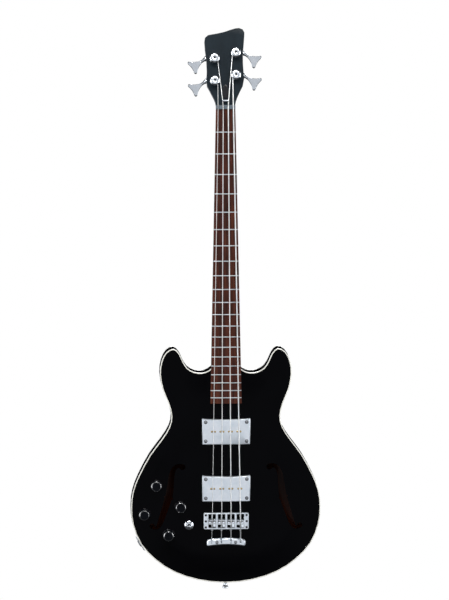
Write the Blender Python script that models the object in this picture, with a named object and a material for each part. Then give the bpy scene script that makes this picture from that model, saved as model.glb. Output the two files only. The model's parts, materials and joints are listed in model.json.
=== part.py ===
"""Left-handed semi-hollow electric bass guitar, modelled piece by piece.

The instrument stands upright: +Z runs from the end strap button to the head, the front faces -Y and +X is
to the right of someone looking at the front. The origin is the middle of the end strap button's flat face.
Sizes are in metres. A height is a distance towards the front, so it is -Y.
"""

import math

import bmesh
import bpy
import numpy as np
from mathutils import Matrix, Vector
from mathutils.geometry import delaunay_2d_cdt

# Clearances shared by all pieces
GAP = 0.0003
RUNNING = 0.0003

# Scale and neck geometry
SCALE_LENGTH = 0.8636
FRET_COUNT = 21
NECK_ANGLE = math.radians(1.8)
NUT_LEVEL = 1.0145
NUT_FRONT = 0.0148
NUT_ACTION = 0.0018
SADDLE_ACTION = 0.00522

# Body: half of the front outline from the tail to the neck, as (x, z)
HALF_OUTLINE = (
    (0.0, 0.0142),
    (0.0575, 0.0205),
    (0.1076, 0.0374),
    (0.1463, 0.0628),
    (0.1777, 0.0966),
    (0.1945, 0.138),
    (0.1982, 0.175),
    (0.1944, 0.2085),
    (0.1818, 0.2423),
    (0.159, 0.285),
    (0.1345, 0.318),
    (0.1185, 0.344),
    (0.1138, 0.368),
    (0.1205, 0.396),
    (0.132, 0.424),
    (0.1378, 0.456),
    (0.1345, 0.483),
    (0.1245, 0.5025),
    (0.1085, 0.5098),
    (0.0965, 0.4985),
    (0.0895, 0.483),
    (0.08, 0.4685),
    (0.066, 0.4605),
    (0.05, 0.4587),
    (0.036, 0.4635),
    (0.0245, 0.4735),
)
OUTLINE_STEPS = 2
RIM_DEPTH = 0.043
RIM_WALL = 0.006
PLATE_THICKNESS = 0.0055
FRONT_ARCH = 0.006
BACK_ARCH = 0.006
ARCH_RUN = 0.070
BINDING_WIDTH = 0.002
BINDING_HEIGHT = PLATE_THICKNESS
BLOCK_WALL = 0.0035
PLATE_PITCH = 0.030

# Sound holes: centre line and half width of the one on the right, as (x, z, half width)
SOUND_HOLE = (
    (0.0909, 0.2608, 0.0062),
    (0.0993, 0.2635, 0.0042),
    (0.1076, 0.2587, 0.0046),
    (0.1133, 0.2450, 0.0058),
    (0.1154, 0.2281, 0.0066),
    (0.1177, 0.2090, 0.0074),
    (0.1202, 0.1964, 0.0076),
    (0.1254, 0.1795, 0.0072),
    (0.1310, 0.1626, 0.0066),
    (0.1359, 0.1478, 0.0060),
    (0.1415, 0.1352, 0.0044),
    (0.1482, 0.1316, 0.0034),
    (0.1545, 0.1362, 0.0056),
)
SOUND_HOLE_NICK = 0.0030

# Fingerboard, neck and nut
BOARD_LENGTH = 0.6190
BOARD_THICKNESS = 0.0060
BOARD_NUT_WIDTH = 0.0405
BOARD_END_WIDTH = 0.0655
BOARD_RADIUS = 0.305
FRET_HEIGHT = 0.0011
FRET_WIDTH = 0.0026
NECK_NUT_DEPTH = 0.0150
NECK_MIDDLE_DEPTH = 0.0180
HEEL_DEPTH = 0.0440
TONGUE_WIDTH = 0.0560
TONGUE_DEPTH = 0.0240
TONGUE_SETBACK = 0.0040
NUT_LENGTH = 0.0078
NUT_RISE = 0.0036
ROD_RADIUS = 0.0028
ROD_CHANNEL_WIDTH = 0.0064
ROD_CHANNEL_DEPTH = 0.0095
ROD_END = -0.500

# Head: outline of its face, as (x, distance from the nut's rear edge along the face)
HEAD_ANGLE = math.radians(14)
HEAD_DROP = 0.0030
HEAD_START = 0.0083
HEAD_THICKNESS = 0.0150
HEAD_OUTLINE = (
    (0.0198, -0.012),
    (0.0202, 0.000),
    (0.0215, 0.007),
    (0.0246, 0.0155),
    (0.0300, 0.0275),
    (0.0365, 0.0400),
    (0.0392, 0.0540),
    (0.0384, 0.0690),
    (0.0373, 0.0880),
    (0.0375, 0.1090),
    (0.0391, 0.1240),
    (0.0409, 0.1450),
    (0.0412, 0.1525),
    (0.0376, 0.1590),
    (0.0302, 0.1620),
    (0.0222, 0.1612),
    (0.0128, 0.1585),
    (-0.0005, 0.1540),
    (-0.0164, 0.1505),
    (-0.0345, 0.1475),
    (-0.0410, 0.1420),
    (-0.0424, 0.1340),
    (-0.0412, 0.1150),
    (-0.0388, 0.0960),
    (-0.0380, 0.0730),
    (-0.0388, 0.0520),
    (-0.0380, 0.0400),
    (-0.0320, 0.0290),
    (-0.0245, 0.0140),
    (-0.0215, 0.0065),
    (-0.0202, 0.000),
    (-0.0198, -0.012),
)

# Strings from left to right: name, diameter, side of its post, the post's place on the head and turns of the winding
STRINGS = (
    ("g", 0.00114, -1, 0.0502, 2.6),
    ("d", 0.00165, -1, 0.0977, 2.1),
    ("a", 0.00216, 1, 0.1090, 1.5),
    ("e", 0.00267, 1, 0.0620, 1.2),
)
NUT_PITCH = 0.0106
BRIDGE_PITCH = 0.0197
TAIL_PITCH = 0.0201
SADDLE_SETBACK = (0.0, 0.0004, 0.0009, 0.0014)
WINDING_GAP = 0.00045

# Tuners
POST_OFFSET = 0.0222
POST_WAIST_RADIUS = 0.0052
POST_SHAFT_RADIUS = 0.0044
POST_CAP_RADIUS = 0.01035
POST_WAIST_LOW = 0.0046
POST_WAIST_HIGH = 0.0150
POST_TOP = 0.0183
BUSH_RADIUS = 0.0067
BUSH_FLANGE_RADIUS = 0.0095
BUSH_FLANGE_HEIGHT = 0.0030
GEAR_RADIUS = 0.0083
GEAR_THICKNESS = 0.0064
WORM_DISTANCE = 0.0120
WORM_DEPTH = 0.0070
WORM_RADIUS = 0.0033
KEY_SHAFT_RADIUS = 0.0028
KEY_ANGLE = math.radians(34)
KEY_STEM = 0.0225
KEY_TIP_CENTRE = 0.0138
KEY_TIP_RADIUS = 0.0033
KEY_HOLLOW = 0.0067
KEY_THICKNESS = 0.0054
HOUSING_HALF_LENGTH = 0.0095
HOUSING_DEPTH = 0.0136

# Pickups
PICKUP_WIDTH = 0.1006
PICKUP_HEIGHT = 0.0550
PICKUP_DIP = 0.0024
PICKUP_SHARES = (0.223, 0.7445)
COIL_HALF_WIDTH = 0.0400
COIL_HALF_HEIGHT = 0.0150
CAVITY_PLAY = 0.0045
PICKUP_STRING_GAP = 0.0042
PICKUP_WALL = 0.0012
POLE_RADIUS = 0.0021

# Bridge and tailpiece
BRIDGE_WIDTH = 0.0940
BRIDGE_LENGTH = 0.0349
BRIDGE_THICKNESS = 0.0100
BRIDGE_BELOW_STRING = 0.0068
BRIDGE_FRONT_REACH = 0.0138
WINDOW_WIDTH = 0.0158
WINDOW_FRONT_WALL = 0.0024
WINDOW_REAR_WALL = 0.0032
STUD_RADIUS = 0.0040
SADDLE_SCREW_RADIUS = 0.0015
SADDLE_SCREW_HEAD = 0.0027
SADDLE_SCREW_DROP = 0.0112
TAIL_DISTANCE = 0.0473
TAIL_WIDTH = 0.0807
TAIL_BAR = 0.0150
TAIL_BOW = 0.0036
TAIL_TOP = 0.0395
TAIL_THICKNESS = 0.0100
TAIL_STUD_SPREAD = 0.0197

# Controls: (x, z) on the front
KNOB_PLACES = (
    ("upper_outer", -0.1448, 0.2211),
    ("lower_outer", -0.1697, 0.1608),
    ("upper_inner", -0.0949, 0.1770),
    ("lower_inner", -0.1199, 0.1177),
)
KNOB_RADIUS = 0.0130
KNOB_HEIGHT = 0.0150
KNOB_LIFT = 0.0016
POT_RADIUS = 0.0120
POT_DEPTH = 0.0110
POT_BUSH_RADIUS = 0.0047
POT_BUSH_HEIGHT = 0.0052
POT_HOLE_PLAY = 0.0009
SHAFT_RADIUS = 0.0030
SWITCH_PLACE = (-0.0775, 0.1380)
SWITCH_RADIUS = 0.0097

# Rim fittings
JACK_LEVEL = 0.0960
JACK_PLATE_LENGTH = 0.0336
JACK_PLATE_WIDTH = 0.0260
JACK_PLATE_THICKNESS = 0.0016
JACK_BORE_RADIUS = 0.0033
BUTTON_RADIUS = 0.0067
BUTTON_WAIST_RADIUS = 0.0042


for stale in list(bpy.data.objects):
    bpy.data.objects.remove(stale)


def finish(name, colour, roughness, metallic=0.0):
    """A plain painted, metal or wood surface."""
    material = bpy.data.materials.new(name)
    material.use_nodes = True
    shader = material.node_tree.nodes["Principled BSDF"]
    shader.inputs["Base Color"].default_value = (*colour, 1.0)
    shader.inputs["Roughness"].default_value = roughness
    shader.inputs["Metallic"].default_value = metallic
    return material


BLACK_LACQUER = finish("black_lacquer", (0.006, 0.006, 0.007), 0.08)
HEAD_VENEER = finish("satin_black_maple", (0.012, 0.015, 0.018), 0.35)
CREAM_BINDING = finish("cream_binding", (0.80, 0.74, 0.58), 0.30)
SPRUCE = finish("bare_spruce", (0.45, 0.27, 0.14), 0.70)
ROSEWOOD = finish("rosewood", (0.11, 0.045, 0.032), 0.50)
NUT_PLASTIC = finish("grey_composite", (0.32, 0.35, 0.37), 0.45)
CHROME = finish("chrome", (0.62, 0.64, 0.67), 0.08, 1.0)
STEEL = finish("steel", (0.55, 0.55, 0.56), 0.30, 1.0)
NICKEL_WIRE = finish("nickel_wire", (0.60, 0.60, 0.58), 0.32, 1.0)
BLACK_PLASTIC = finish("black_plastic", (0.008, 0.008, 0.009), 0.12)
COPPER_COIL = finish("copper_coil", (0.30, 0.10, 0.04), 0.40, 0.6)


def node(name, mesh, material, parent=None, place=None, crease=35):
    """Turns a bmesh into a named object, smooth apart from its edges sharper than crease degrees."""
    bmesh.ops.remove_doubles(mesh, verts=mesh.verts, dist=1e-6)
    bmesh.ops.recalc_face_normals(mesh, faces=mesh.faces)
    data = bpy.data.meshes.new(name)
    mesh.to_mesh(data)
    mesh.free()
    data.shade_smooth()
    data.set_sharp_from_angle(angle=math.radians(crease))
    data.materials.append(material)
    thing = bpy.data.objects.new(name, data)
    bpy.context.scene.collection.objects.link(thing)
    thing.parent = parent
    thing.matrix_local = place if place is not None else Matrix()
    return thing


def frame_at(name, place, parent=None):
    """An empty that carries the pieces modelled in its own axes."""
    empty = bpy.data.objects.new(name, None)
    bpy.context.scene.collection.objects.link(empty)
    empty.parent = parent
    empty.matrix_local = place
    return empty


def helper(thing):
    """Marks an object as a cutter or a tool shape that isn't a piece."""
    thing.hide_render = True
    thing.display_type = "WIRE"
    return thing


def carve(target, *cutters, operation="DIFFERENCE"):
    """Cuts each cutter from the target, or joins it."""
    for cutter in cutters:
        boolean = target.modifiers.new(cutter.name, "BOOLEAN")
        boolean.operation = operation
        boolean.solver = "EXACT"
        boolean.object = helper(cutter)
    return target


def facing(axis, origin, up=(0.0, 0.0, 1.0)):
    """The matrix that carries local +Z onto axis at origin, with local Y as near to up as it can be."""
    z = Vector(axis).normalized()
    x = Vector(up).cross(z)
    if x.length < 1e-6:
        x = Vector((1.0, 0.0, 0.0))
    x.normalize()
    y = z.cross(x)
    return Matrix.Translation(origin) @ Matrix((x, y, z)).transposed().to_4x4()


def turned(profile, steps, mesh=None):
    """Revolves a profile of (radius, height) points about Z. It starts and ends on the axis, or closes on itself."""
    mesh = mesh or bmesh.new()
    points = [mesh.verts.new((radius, 0.0, height)) for radius, height in profile]
    edges = [mesh.edges.new(pair) for pair in zip(points, points[1:])]
    if profile[0][0] > 0.0:
        edges.append(mesh.edges.new((points[-1], points[0])))
    bmesh.ops.spin(
        mesh,
        geom=points + edges,
        cent=(0.0, 0.0, 0.0),
        axis=(0.0, 0.0, 1.0),
        steps=steps,
        angle=math.tau,
        use_merge=True,
    )
    return mesh


def loft(rings):
    """Joins rings of equal count in order and closes both ends with a flat face."""
    mesh = bmesh.new()
    rows = [[mesh.verts.new(point) for point in ring] for ring in rings]
    for low, high in zip(rows, rows[1:]):
        for i in range(len(low)):
            j = (i + 1) % len(low)
            mesh.faces.new((low[i], low[j], high[j], high[i]))
    mesh.faces.new(rows[0][::-1])
    mesh.faces.new(rows[-1])
    return mesh


def prism(outline, low, high, bevel=0.0):
    """Extrudes a plan outline of (x, y) points from height low to high, rounding the top rim if asked."""
    levels = [(0.0, low), (0.0, high - bevel), (bevel, high)] if bevel else [(0.0, low), (0.0, high)]
    plan = np.array(outline)
    rings = []
    for inset, height in levels:
        ring = inset_outline(plan, inset) if inset else plan
        rings.append([(x, y, height) for x, y in ring])
    return loft(rings)


def cylinder(radius, low, high, steps=20):
    return turned([(0.0, low), (radius, low), (radius, high), (0.0, high)], steps)


def smooth_through(points, steps, first=None, last=None):
    """A Catmull-Rom curve through the points, with steps segments between each two."""
    points = np.array(points, float)
    first = 2 * points[0] - points[1] if first is None else np.array(first, float)
    last = 2 * points[-1] - points[-2] if last is None else np.array(last, float)
    line = np.vstack([first, points, last])
    curve = []
    for a, b, c, d in zip(line, line[1:], line[2:], line[3:]):
        for t in np.arange(steps) / steps:
            curve.append(
                0.5 * (2 * b + (c - a) * t + (2 * a - 5 * b + 4 * c - d) * t**2 + (3 * b - a - 3 * c + d) * t**3)
            )
    curve.append(points[-1])
    return np.array(curve)


def side_normals(line, closed=True):
    """Unit normals to the left of a plan line."""
    if closed:
        along = np.roll(line, -1, 0) - np.roll(line, 1, 0)
    else:
        along = np.gradient(line, axis=0)
    along /= np.linalg.norm(along, axis=1, keepdims=True)
    return np.stack([-along[:, 1], along[:, 0]], 1)


def inset_outline(outline, distance):
    """A closed outline, counter-clockwise in plan, moved inwards by distance."""
    turned_left = np.sum(outline[:, 0] * np.roll(outline[:, 1], -1) - np.roll(outline[:, 0], -1) * outline[:, 1])
    return outline + side_normals(outline) * distance * (1 if turned_left > 0 else -1)


def circle(x, z, radius, steps=16):
    angles = np.arange(steps) * math.tau / steps
    return np.stack([x + radius * np.cos(angles), z + radius * np.sin(angles)], 1)


def rounded_box(half_x, half_y, radius, steps=3):
    """A rectangle's outline with round corners, counter-clockwise."""
    outline = []
    for corner, (sx, sy) in enumerate(((1, 1), (-1, 1), (-1, -1), (1, -1))):
        for k in range(steps + 1):
            angle = math.pi / 2 * (corner + k / steps)
            outline.append(
                (
                    sx * (half_x - radius) + radius * math.cos(angle),
                    sy * (half_y - radius) + radius * math.sin(angle),
                )
            )
    return outline


def inside(points, outline):
    """Whether each plan point lies inside a closed outline, by counting crossings."""
    x, y = points[:, :1], points[:, 1:]
    ax, ay = outline[:, 0], outline[:, 1]
    bx, by = np.roll(ax, -1), np.roll(ay, -1)
    spans = (ay > y) != (by > y)
    rise = np.where(by == ay, 1.0, by - ay)
    return (spans & (x < (bx - ax) * (y - ay) / rise + ax)).sum(1) % 2 == 1


def distance_to(points, outline):
    """The distance from each plan point to a closed outline."""
    a = outline[None]
    b = np.roll(outline, -1, 0)[None]
    p = points[:, None]
    t = np.clip(((p - a) * (b - a)).sum(2) / ((b - a) ** 2).sum(2), 0, 1)
    return np.linalg.norm(p - a - t[..., None] * (b - a), axis=2).min(1)


def slab(name, outline, holes, front, back, pitch, material):
    """A plate in the body's plane. front and back give the heights of its faces at plan points."""
    loops = [np.array(outline)] + [np.array(hole) for hole in holes]
    plan = np.concatenate(loops)
    edges = []
    start = 0
    for loop in loops:
        edges += [(start + i, start + (i + 1) % len(loop)) for i in range(len(loop))]
        start += len(loop)
    low, high = loops[0].min(0), loops[0].max(0)
    rows = np.arange(low[1], high[1], pitch * 0.87)
    grid = np.array(
        [
            (x, z)
            for k, z in enumerate(rows)
            for x in np.arange(low[0] + pitch * (0.5 if k % 2 else 0.0), high[0], pitch)
        ]
    )
    if len(grid):
        keep = inside(grid, loops[0]) & (distance_to(grid, loops[0]) > pitch * 0.4)
        for loop in loops[1:]:
            keep &= ~inside(grid, loop) & (distance_to(grid, loop) > pitch * 0.3)
        plan = np.concatenate([plan, grid[keep]])
    flat, _, triangles, *_ = delaunay_2d_cdt([Vector(point) for point in plan], edges, [], 1, 1e-9)
    flat = np.array([tuple(point) for point in flat])
    triangles = np.array(triangles)
    middles = flat[triangles].mean(1)
    keep = inside(middles, loops[0])
    for loop in loops[1:]:
        keep &= ~inside(middles, loop)
    mesh = bmesh.new()
    faces = [[mesh.verts.new((x, -h, z)) for (x, z), h in zip(flat, height(flat))] for height in (front, back)]
    used = {}
    for triangle in triangles[keep].tolist():
        mesh.faces.new([faces[0][i] for i in triangle])
        mesh.faces.new([faces[1][i] for i in reversed(triangle)])
        for i, j in zip(triangle, triangle[1:] + triangle[:1]):
            used[(i, j)] = True
    for i, j in used:
        if (j, i) not in used:
            mesh.faces.new((faces[0][j], faces[0][i], faces[1][i], faces[1][j]))
    loose = [vert for vert in mesh.verts if not vert.link_faces]
    bmesh.ops.delete(mesh, geom=loose, context="VERTS")
    return node(name, mesh, material)


def hoop(name, outline, section, material):
    """Carries a closed section of (inset, height) points round the body's outline."""
    rings = []
    for inset, height in section:
        line = inset_outline(outline, inset)
        rings.append([(x, -height, z) for x, z in line])
    mesh = bmesh.new()
    rows = [[mesh.verts.new(point) for point in ring] for ring in rings]
    for a, b in zip(rows, rows[1:] + rows[:1]):
        for i in range(len(a)):
            j = (i + 1) % len(a)
            mesh.faces.new((a[i], a[j], b[j], b[i]))
    return node(name, mesh, material)


def wire(name, points, radius, material, parent=None):
    """A round wire through the points, with closed ends."""
    curve = bpy.data.curves.new(name, "CURVE")
    curve.dimensions = "3D"
    curve.bevel_depth = radius
    curve.bevel_resolution = 1
    curve.use_fill_caps = True
    spline = curve.splines.new("POLY")
    spline.points.add(len(points) - 1)
    for slot, point in zip(spline.points, points):
        slot.co = (*point, 1.0)
    curve.materials.append(material)
    thing = bpy.data.objects.new(name, curve)
    bpy.context.scene.collection.objects.link(thing)
    thing.parent = parent
    return thing


# Body shell: top, back, rim, bindings and centre block
half = smooth_through(
    HALF_OUTLINE, OUTLINE_STEPS, first=(-HALF_OUTLINE[1][0], HALF_OUTLINE[1][1])
)
BODY = np.concatenate([half, (half * (-1, 1))[:0:-1]])
EDGE_FRONT = RIM_DEPTH / 2
BODY_NECK_EDGE = HALF_OUTLINE[-1][1]


def swell(points):
    """How far an arched plate has risen at plan points, from 0 at the edge to 1."""
    run = np.clip(distance_to(points, BODY) / ARCH_RUN, 0, 1)
    return run * run * (3 - 2 * run)


def top_front(points):
    return EDGE_FRONT + FRONT_ARCH * swell(points)


def back_rear(points):
    return -EDGE_FRONT - BACK_ARCH * swell(points)


def top_height(x, z):
    return float(top_front(np.array([(x, z)]))[0])


def top_normal(x, z):
    """The direction straight out of the arched top at a plan point."""
    step = 0.001
    across = (top_height(x + step, z) - top_height(x - step, z)) / (2 * step)
    along = (top_height(x, z + step) - top_height(x, z - step)) / (2 * step)
    return Vector((-across, -1.0, -along)).normalized()


def sound_hole(side):
    """The outline of a sound hole: an S whose width swells in the middle and at its two eyes, with a nick each side."""
    path = smooth_through(SOUND_HOLE, 2)
    middle = int(np.argmin(abs(path[:, 1] - SOUND_HOLE[6][1])))
    normals = side_normals(path[:, :2], closed=False)
    sides = []
    for sign in (1, -1):
        line = [tuple(p) for p in path[:, :2] + sign * normals * path[:, 2:]]
        tip = path[middle, :2] + sign * normals[middle] * (path[middle, 2] + SOUND_HOLE_NICK)
        before = 0.6 * np.array(line[middle]) + 0.4 * np.array(line[middle - 1])
        after = 0.6 * np.array(line[middle]) + 0.4 * np.array(line[middle + 1])
        sides.append(line[:middle] + [tuple(before), tuple(tip), tuple(after)] + line[middle + 1 :])
    caps = []
    for end, outward in ((path[-1], path[-1] - path[-2]), (path[0], path[0] - path[1])):
        start = math.atan2(outward[1], outward[0]) + math.pi / 2
        caps.append(
            [
                (end[0] + end[2] * math.cos(start - math.pi * k / 6), end[1] + end[2] * math.sin(start - math.pi * k / 6))
                for k in range(1, 6)
            ]
        )
    outline = np.array(sides[0] + caps[0] + sides[1][::-1] + caps[1])
    return outline * (side, 1)


pot_holes = [circle(x, z, POT_BUSH_RADIUS + POT_HOLE_PLAY, 12) for _, x, z in KNOB_PLACES]
switch_hole = circle(*SWITCH_PLACE, 0.0058 + POT_HOLE_PLAY, 12)
neck_origin = Matrix.Translation((0.0, -NUT_FRONT, NUT_LEVEL)) @ Matrix.Rotation(-NECK_ANGLE, 4, "X")
SADDLE = neck_origin @ Vector((0.0, -SADDLE_ACTION, -SCALE_LENGTH))
TAIL_LEVEL = SADDLE.z - TAIL_DISTANCE
BOARD_END = (neck_origin @ Vector((0.0, BOARD_THICKNESS, -BOARD_LENGTH))).z
bridge_high = SADDLE.z + BRIDGE_FRONT_REACH
PICKUP_LEVELS = [bridge_high + share * (BOARD_END - bridge_high) for share in PICKUP_SHARES]
cavity_half = COIL_HALF_WIDTH + CAVITY_PLAY
BLOCK_HALF_WIDTH = cavity_half + BLOCK_WALL
cavity_plan = np.array(rounded_box(cavity_half, COIL_HALF_HEIGHT + CAVITY_PLAY + 0.002, 0.004, 1))
pickup_holes = [cavity_plan + (0.0, level) for level in PICKUP_LEVELS]
STUD_SPREAD = 0.0390
BRIDGE_MIDDLE = SADDLE.z + BRIDGE_FRONT_REACH - BRIDGE_LENGTH / 2
stud_holes = [circle(side * STUD_SPREAD, BRIDGE_MIDDLE, STUD_RADIUS + GAP, 10) for side in (-1, 1)]
stud_holes += [circle(side * TAIL_STUD_SPREAD, TAIL_LEVEL, STUD_RADIUS + GAP, 10) for side in (-1, 1)]

EDGE_INSET = BINDING_WIDTH + GAP
plate_outline = inset_outline(BODY, EDGE_INSET)


def notched(outline, half_width, foot):
    """The outline with a square notch for the neck's tongue, open at the neck's end."""
    keep = (abs(outline[:, 0]) > half_width) | (outline[:, 1] < foot)
    right = outline[keep & (outline[:, 0] >= 0)]
    left = outline[keep & (outline[:, 0] < 0)]
    last, dropped = right[-1], outline[~keep & (outline[:, 0] > 0)][0]
    share = (last[0] - half_width) / (last[0] - dropped[0])
    edge = last[1] + share * (dropped[1] - last[1])
    notch = [(half_width, edge), (half_width, foot), (-half_width, foot), (-half_width, edge)]
    return np.concatenate([right, notch, left])


body_top = slab(
    "body_top",
    notched(plate_outline, TONGUE_WIDTH / 2 + GAP, BOARD_END + TONGUE_SETBACK - GAP),
    [sound_hole(-1), sound_hole(1), *pot_holes, switch_hole, *pickup_holes, *stud_holes],
    top_front,
    lambda points: top_front(points) - PLATE_THICKNESS,
    PLATE_PITCH,
    BLACK_LACQUER,
)
body_back = slab(
    "body_back",
    plate_outline,
    [],
    lambda points: back_rear(points) + PLATE_THICKNESS,
    back_rear,
    PLATE_PITCH * 1.2,
    BLACK_LACQUER,
)
RIM_EDGE = EDGE_FRONT - BINDING_HEIGHT - GAP
body_rim = hoop(
    "body_rim",
    BODY,
    ((0.0, -RIM_EDGE), (0.0, RIM_EDGE), (RIM_WALL, RIM_EDGE), (RIM_WALL, -RIM_EDGE)),
    BLACK_LACQUER,
)
bindings = [
    hoop(
        name,
        BODY,
        (
            (0.0, side * (EDGE_FRONT - BINDING_HEIGHT)),
            (0.0, side * EDGE_FRONT),
            (BINDING_WIDTH, side * EDGE_FRONT),
            (BINDING_WIDTH, side * (EDGE_FRONT - BINDING_HEIGHT)),
        ),
        CREAM_BINDING,
    )
    for name, side in (("binding_front", 1), ("binding_back", -1))
]


def block_outline():
    """The centre block's plan: straight sides, with ends that follow the inside of the rim."""
    wall = inset_outline(BODY, RIM_WALL + 2 * GAP)
    ends = []
    for beyond, way in ((wall[:, 1] < 0.1, 1), (wall[:, 1] > 0.4, -1)):
        line = wall[beyond & (abs(wall[:, 0]) < 1.3 * BLOCK_HALF_WIDTH)]
        line = line[line[:, 0].argsort()]
        corners = (-BLOCK_HALF_WIDTH, BLOCK_HALF_WIDTH)
        across = np.unique([*corners, *line[abs(line[:, 0]) < BLOCK_HALF_WIDTH - 0.001, 0]])
        ends.append([(x, np.interp(x, line[:, 0], line[:, 1]) + way * GAP) for x in across[::way]])
    return ends[0] + ends[1]


block_holes = [circle(side * STUD_SPREAD, BRIDGE_MIDDLE, STUD_RADIUS + GAP, 10) for side in (-1, 1)]
block_holes += [circle(side * TAIL_STUD_SPREAD, TAIL_LEVEL, STUD_RADIUS + GAP, 10) for side in (-1, 1)]
centre_block = slab(
    "centre_block",
    block_outline(),
    block_holes + pickup_holes,
    lambda points: top_front(points) - PLATE_THICKNESS - 2 * GAP,
    lambda points: back_rear(points) + PLATE_THICKNESS + 2 * GAP,
    0.030,
    SPRUCE,
)

# Neck with its head and tongue
neck_frame = frame_at("neck_frame", neck_origin)
head_origin = (
    Matrix.Translation((0.0, HEAD_DROP, HEAD_START)) @ Matrix.Rotation(-HEAD_ANGLE, 4, "X")
)
head_frame = frame_at("head_frame", head_origin, neck_frame)
head_world = neck_origin @ head_origin
WOOD_TOP = BOARD_THICKNESS + GAP


def board_width(along):
    """The fingerboard's width at a distance along the neck, which is negative below the nut."""
    return BOARD_NUT_WIDTH + (BOARD_END_WIDTH - BOARD_NUT_WIDTH) * (-along / BOARD_LENGTH)


def heel_plane(height):
    """The distance along the neck at which the body's flat neck edge is met, for a height below the board."""
    return (BODY_NECK_EDGE + GAP - NUT_LEVEL + height * math.sin(NECK_ANGLE)) / math.cos(NECK_ANGLE)


def neck_ring(along, depth, squareness, to_body=False, top=WOOD_TOP, steps=10):
    """One section of the neck: flat under the board and round behind, as points in the neck's frame."""
    half_width = board_width(min(along, 0.0)) / 2
    ring = []
    for k in range(steps + 1):
        angle = math.pi * k / steps
        x = half_width * math.cos(angle)
        bulge = math.sin(angle) ** squareness
        height = top + 0.001 + depth * bulge
        ring.append((x, height, heel_plane(height) if to_body else along))
    top_along = heel_plane(top) if to_body else along
    ring.append((-half_width, top, top_along))
    ring.append((half_width, top, top_along))
    return ring


heel_start = heel_plane(WOOD_TOP)
sections = [
    (0.0040, NECK_NUT_DEPTH, 0.8),
    (-0.040, NECK_NUT_DEPTH, 0.8),
    (-0.240, 0.5 * (NECK_NUT_DEPTH + NECK_MIDDLE_DEPTH), 0.8),
    (-0.430, NECK_MIDDLE_DEPTH, 0.8),
    (heel_start + 0.046, NECK_MIDDLE_DEPTH + 0.0015, 0.75),
    (heel_start + 0.030, NECK_MIDDLE_DEPTH + 0.004, 0.7),
    (heel_start + 0.018, 0.55 * HEEL_DEPTH + 0.002, 0.6),
    (heel_start + 0.009, 0.78 * HEEL_DEPTH, 0.5),
    (heel_start + 0.003, 0.94 * HEEL_DEPTH, 0.45),
]
head_root = neck_ring(0.0250, NECK_NUT_DEPTH - 0.0060, 0.6, top=WOOD_TOP + 0.0060)
rings = [head_root] + [neck_ring(*section) for section in sections]
rings.append(neck_ring(heel_start, HEEL_DEPTH, 0.42, to_body=True))
neck = node("neck", loft(rings), BLACK_LACQUER, neck_frame)

head_outline = [tuple(point) for point in HEAD_OUTLINE]
head = node(
    "head_blank",
    prism([(x, z) for x, z in head_outline], -HEAD_THICKNESS, 0.0, bevel=0.0008),
    BLACK_LACQUER,
    head_frame,
    Matrix.Rotation(math.radians(90), 4, "X"),
)
tongue_end = -BOARD_LENGTH + TONGUE_SETBACK


def tongue(name, extra):
    """The neck's tongue in the body, or the pocket for it when it is made larger by extra."""
    half_width = TONGUE_WIDTH / 2 + extra
    low, high = WOOD_TOP + TONGUE_DEPTH + extra, WOOD_TOP - (0.012 if extra else 0.0)
    start, end = tongue_end - extra, heel_start + 0.010
    corners = ((-half_width, low), (half_width, low), (half_width, high), (-half_width, high))
    return node(
        name,
        loft([[(x, y, start) for x, y in corners], [(x, y, end) for x, y in corners]]),
        BLACK_LACQUER,
        neck_frame,
    )


nut_seat = node(
    "nut_seat",
    loft(
        [
            [(x, y, z) for y, z in ((WOOD_TOP, -0.012), (WOOD_TOP, NUT_LENGTH + 2 * GAP), (-0.02, NUT_LENGTH + 2 * GAP), (-0.02, -0.012))]
            for x in (-0.03, 0.03)
        ]
    ),
    BLACK_LACQUER,
    neck_frame,
)
ROD_FLOOR = WOOD_TOP + ROD_CHANNEL_DEPTH


def rod_way(name, half_width, roof, start, end):
    """A square-cut length of the way for the truss rod, from its floor up to a roof."""
    corners = ((-half_width, ROD_FLOOR), (half_width, ROD_FLOOR), (half_width, roof), (-half_width, roof))
    return node(
        name, loft([[(x, y, z) for x, y in corners] for z in (start, end)]), BLACK_LACQUER, neck_frame
    )


half_channel = ROD_CHANNEL_WIDTH / 2
rod_ways = [
    rod_way("rod_channel", half_channel, -0.010, ROD_END, -0.003),
    rod_way("rod_tunnel", half_channel - 0.0001, ROD_FLOOR - 2 * ROD_RADIUS - 2 * GAP, -0.004, 0.0390),
    rod_way("rod_access", half_channel - 0.0002, -0.020, 0.0255, 0.0385),
]
carve(neck, head, tongue("neck_tongue", 0.0), operation="UNION")
carve(neck, nut_seat, *rod_ways)
for target in (centre_block, body_rim, bindings[0]):
    carve(target, tongue(target.name + "_neck_pocket", GAP))

truss_rod = node(
    "truss_rod",
    turned(
        [
            (0.0, ROD_END + 0.001),
            (ROD_RADIUS, ROD_END + 0.001),
            (ROD_RADIUS, 0.022),
            (ROD_RADIUS - 0.0004, 0.0222),
            (ROD_RADIUS - 0.0004, 0.034),
            (0.0, 0.034),
        ],
        8,
    ),
    STEEL,
    neck_frame,
    Matrix.Translation((0.0, WOOD_TOP + ROD_CHANNEL_DEPTH - ROD_RADIUS - GAP, 0.0)),
)

# Fingerboard with its frets
fret_places = [-SCALE_LENGTH * (1 - 2 ** (-n / 12)) for n in range(1, FRET_COUNT + 1)]


def board_ring(along, rise):
    """A section of the fingerboard: crowned on top, flat underneath."""
    half_width = board_width(along) / 2
    across = np.linspace(-half_width, half_width, 5)
    top = [(x, x * x / (2 * BOARD_RADIUS) - rise, along) for x in across]
    return top + [(half_width, BOARD_THICKNESS, along), (-half_width, BOARD_THICKNESS, along)]


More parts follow.
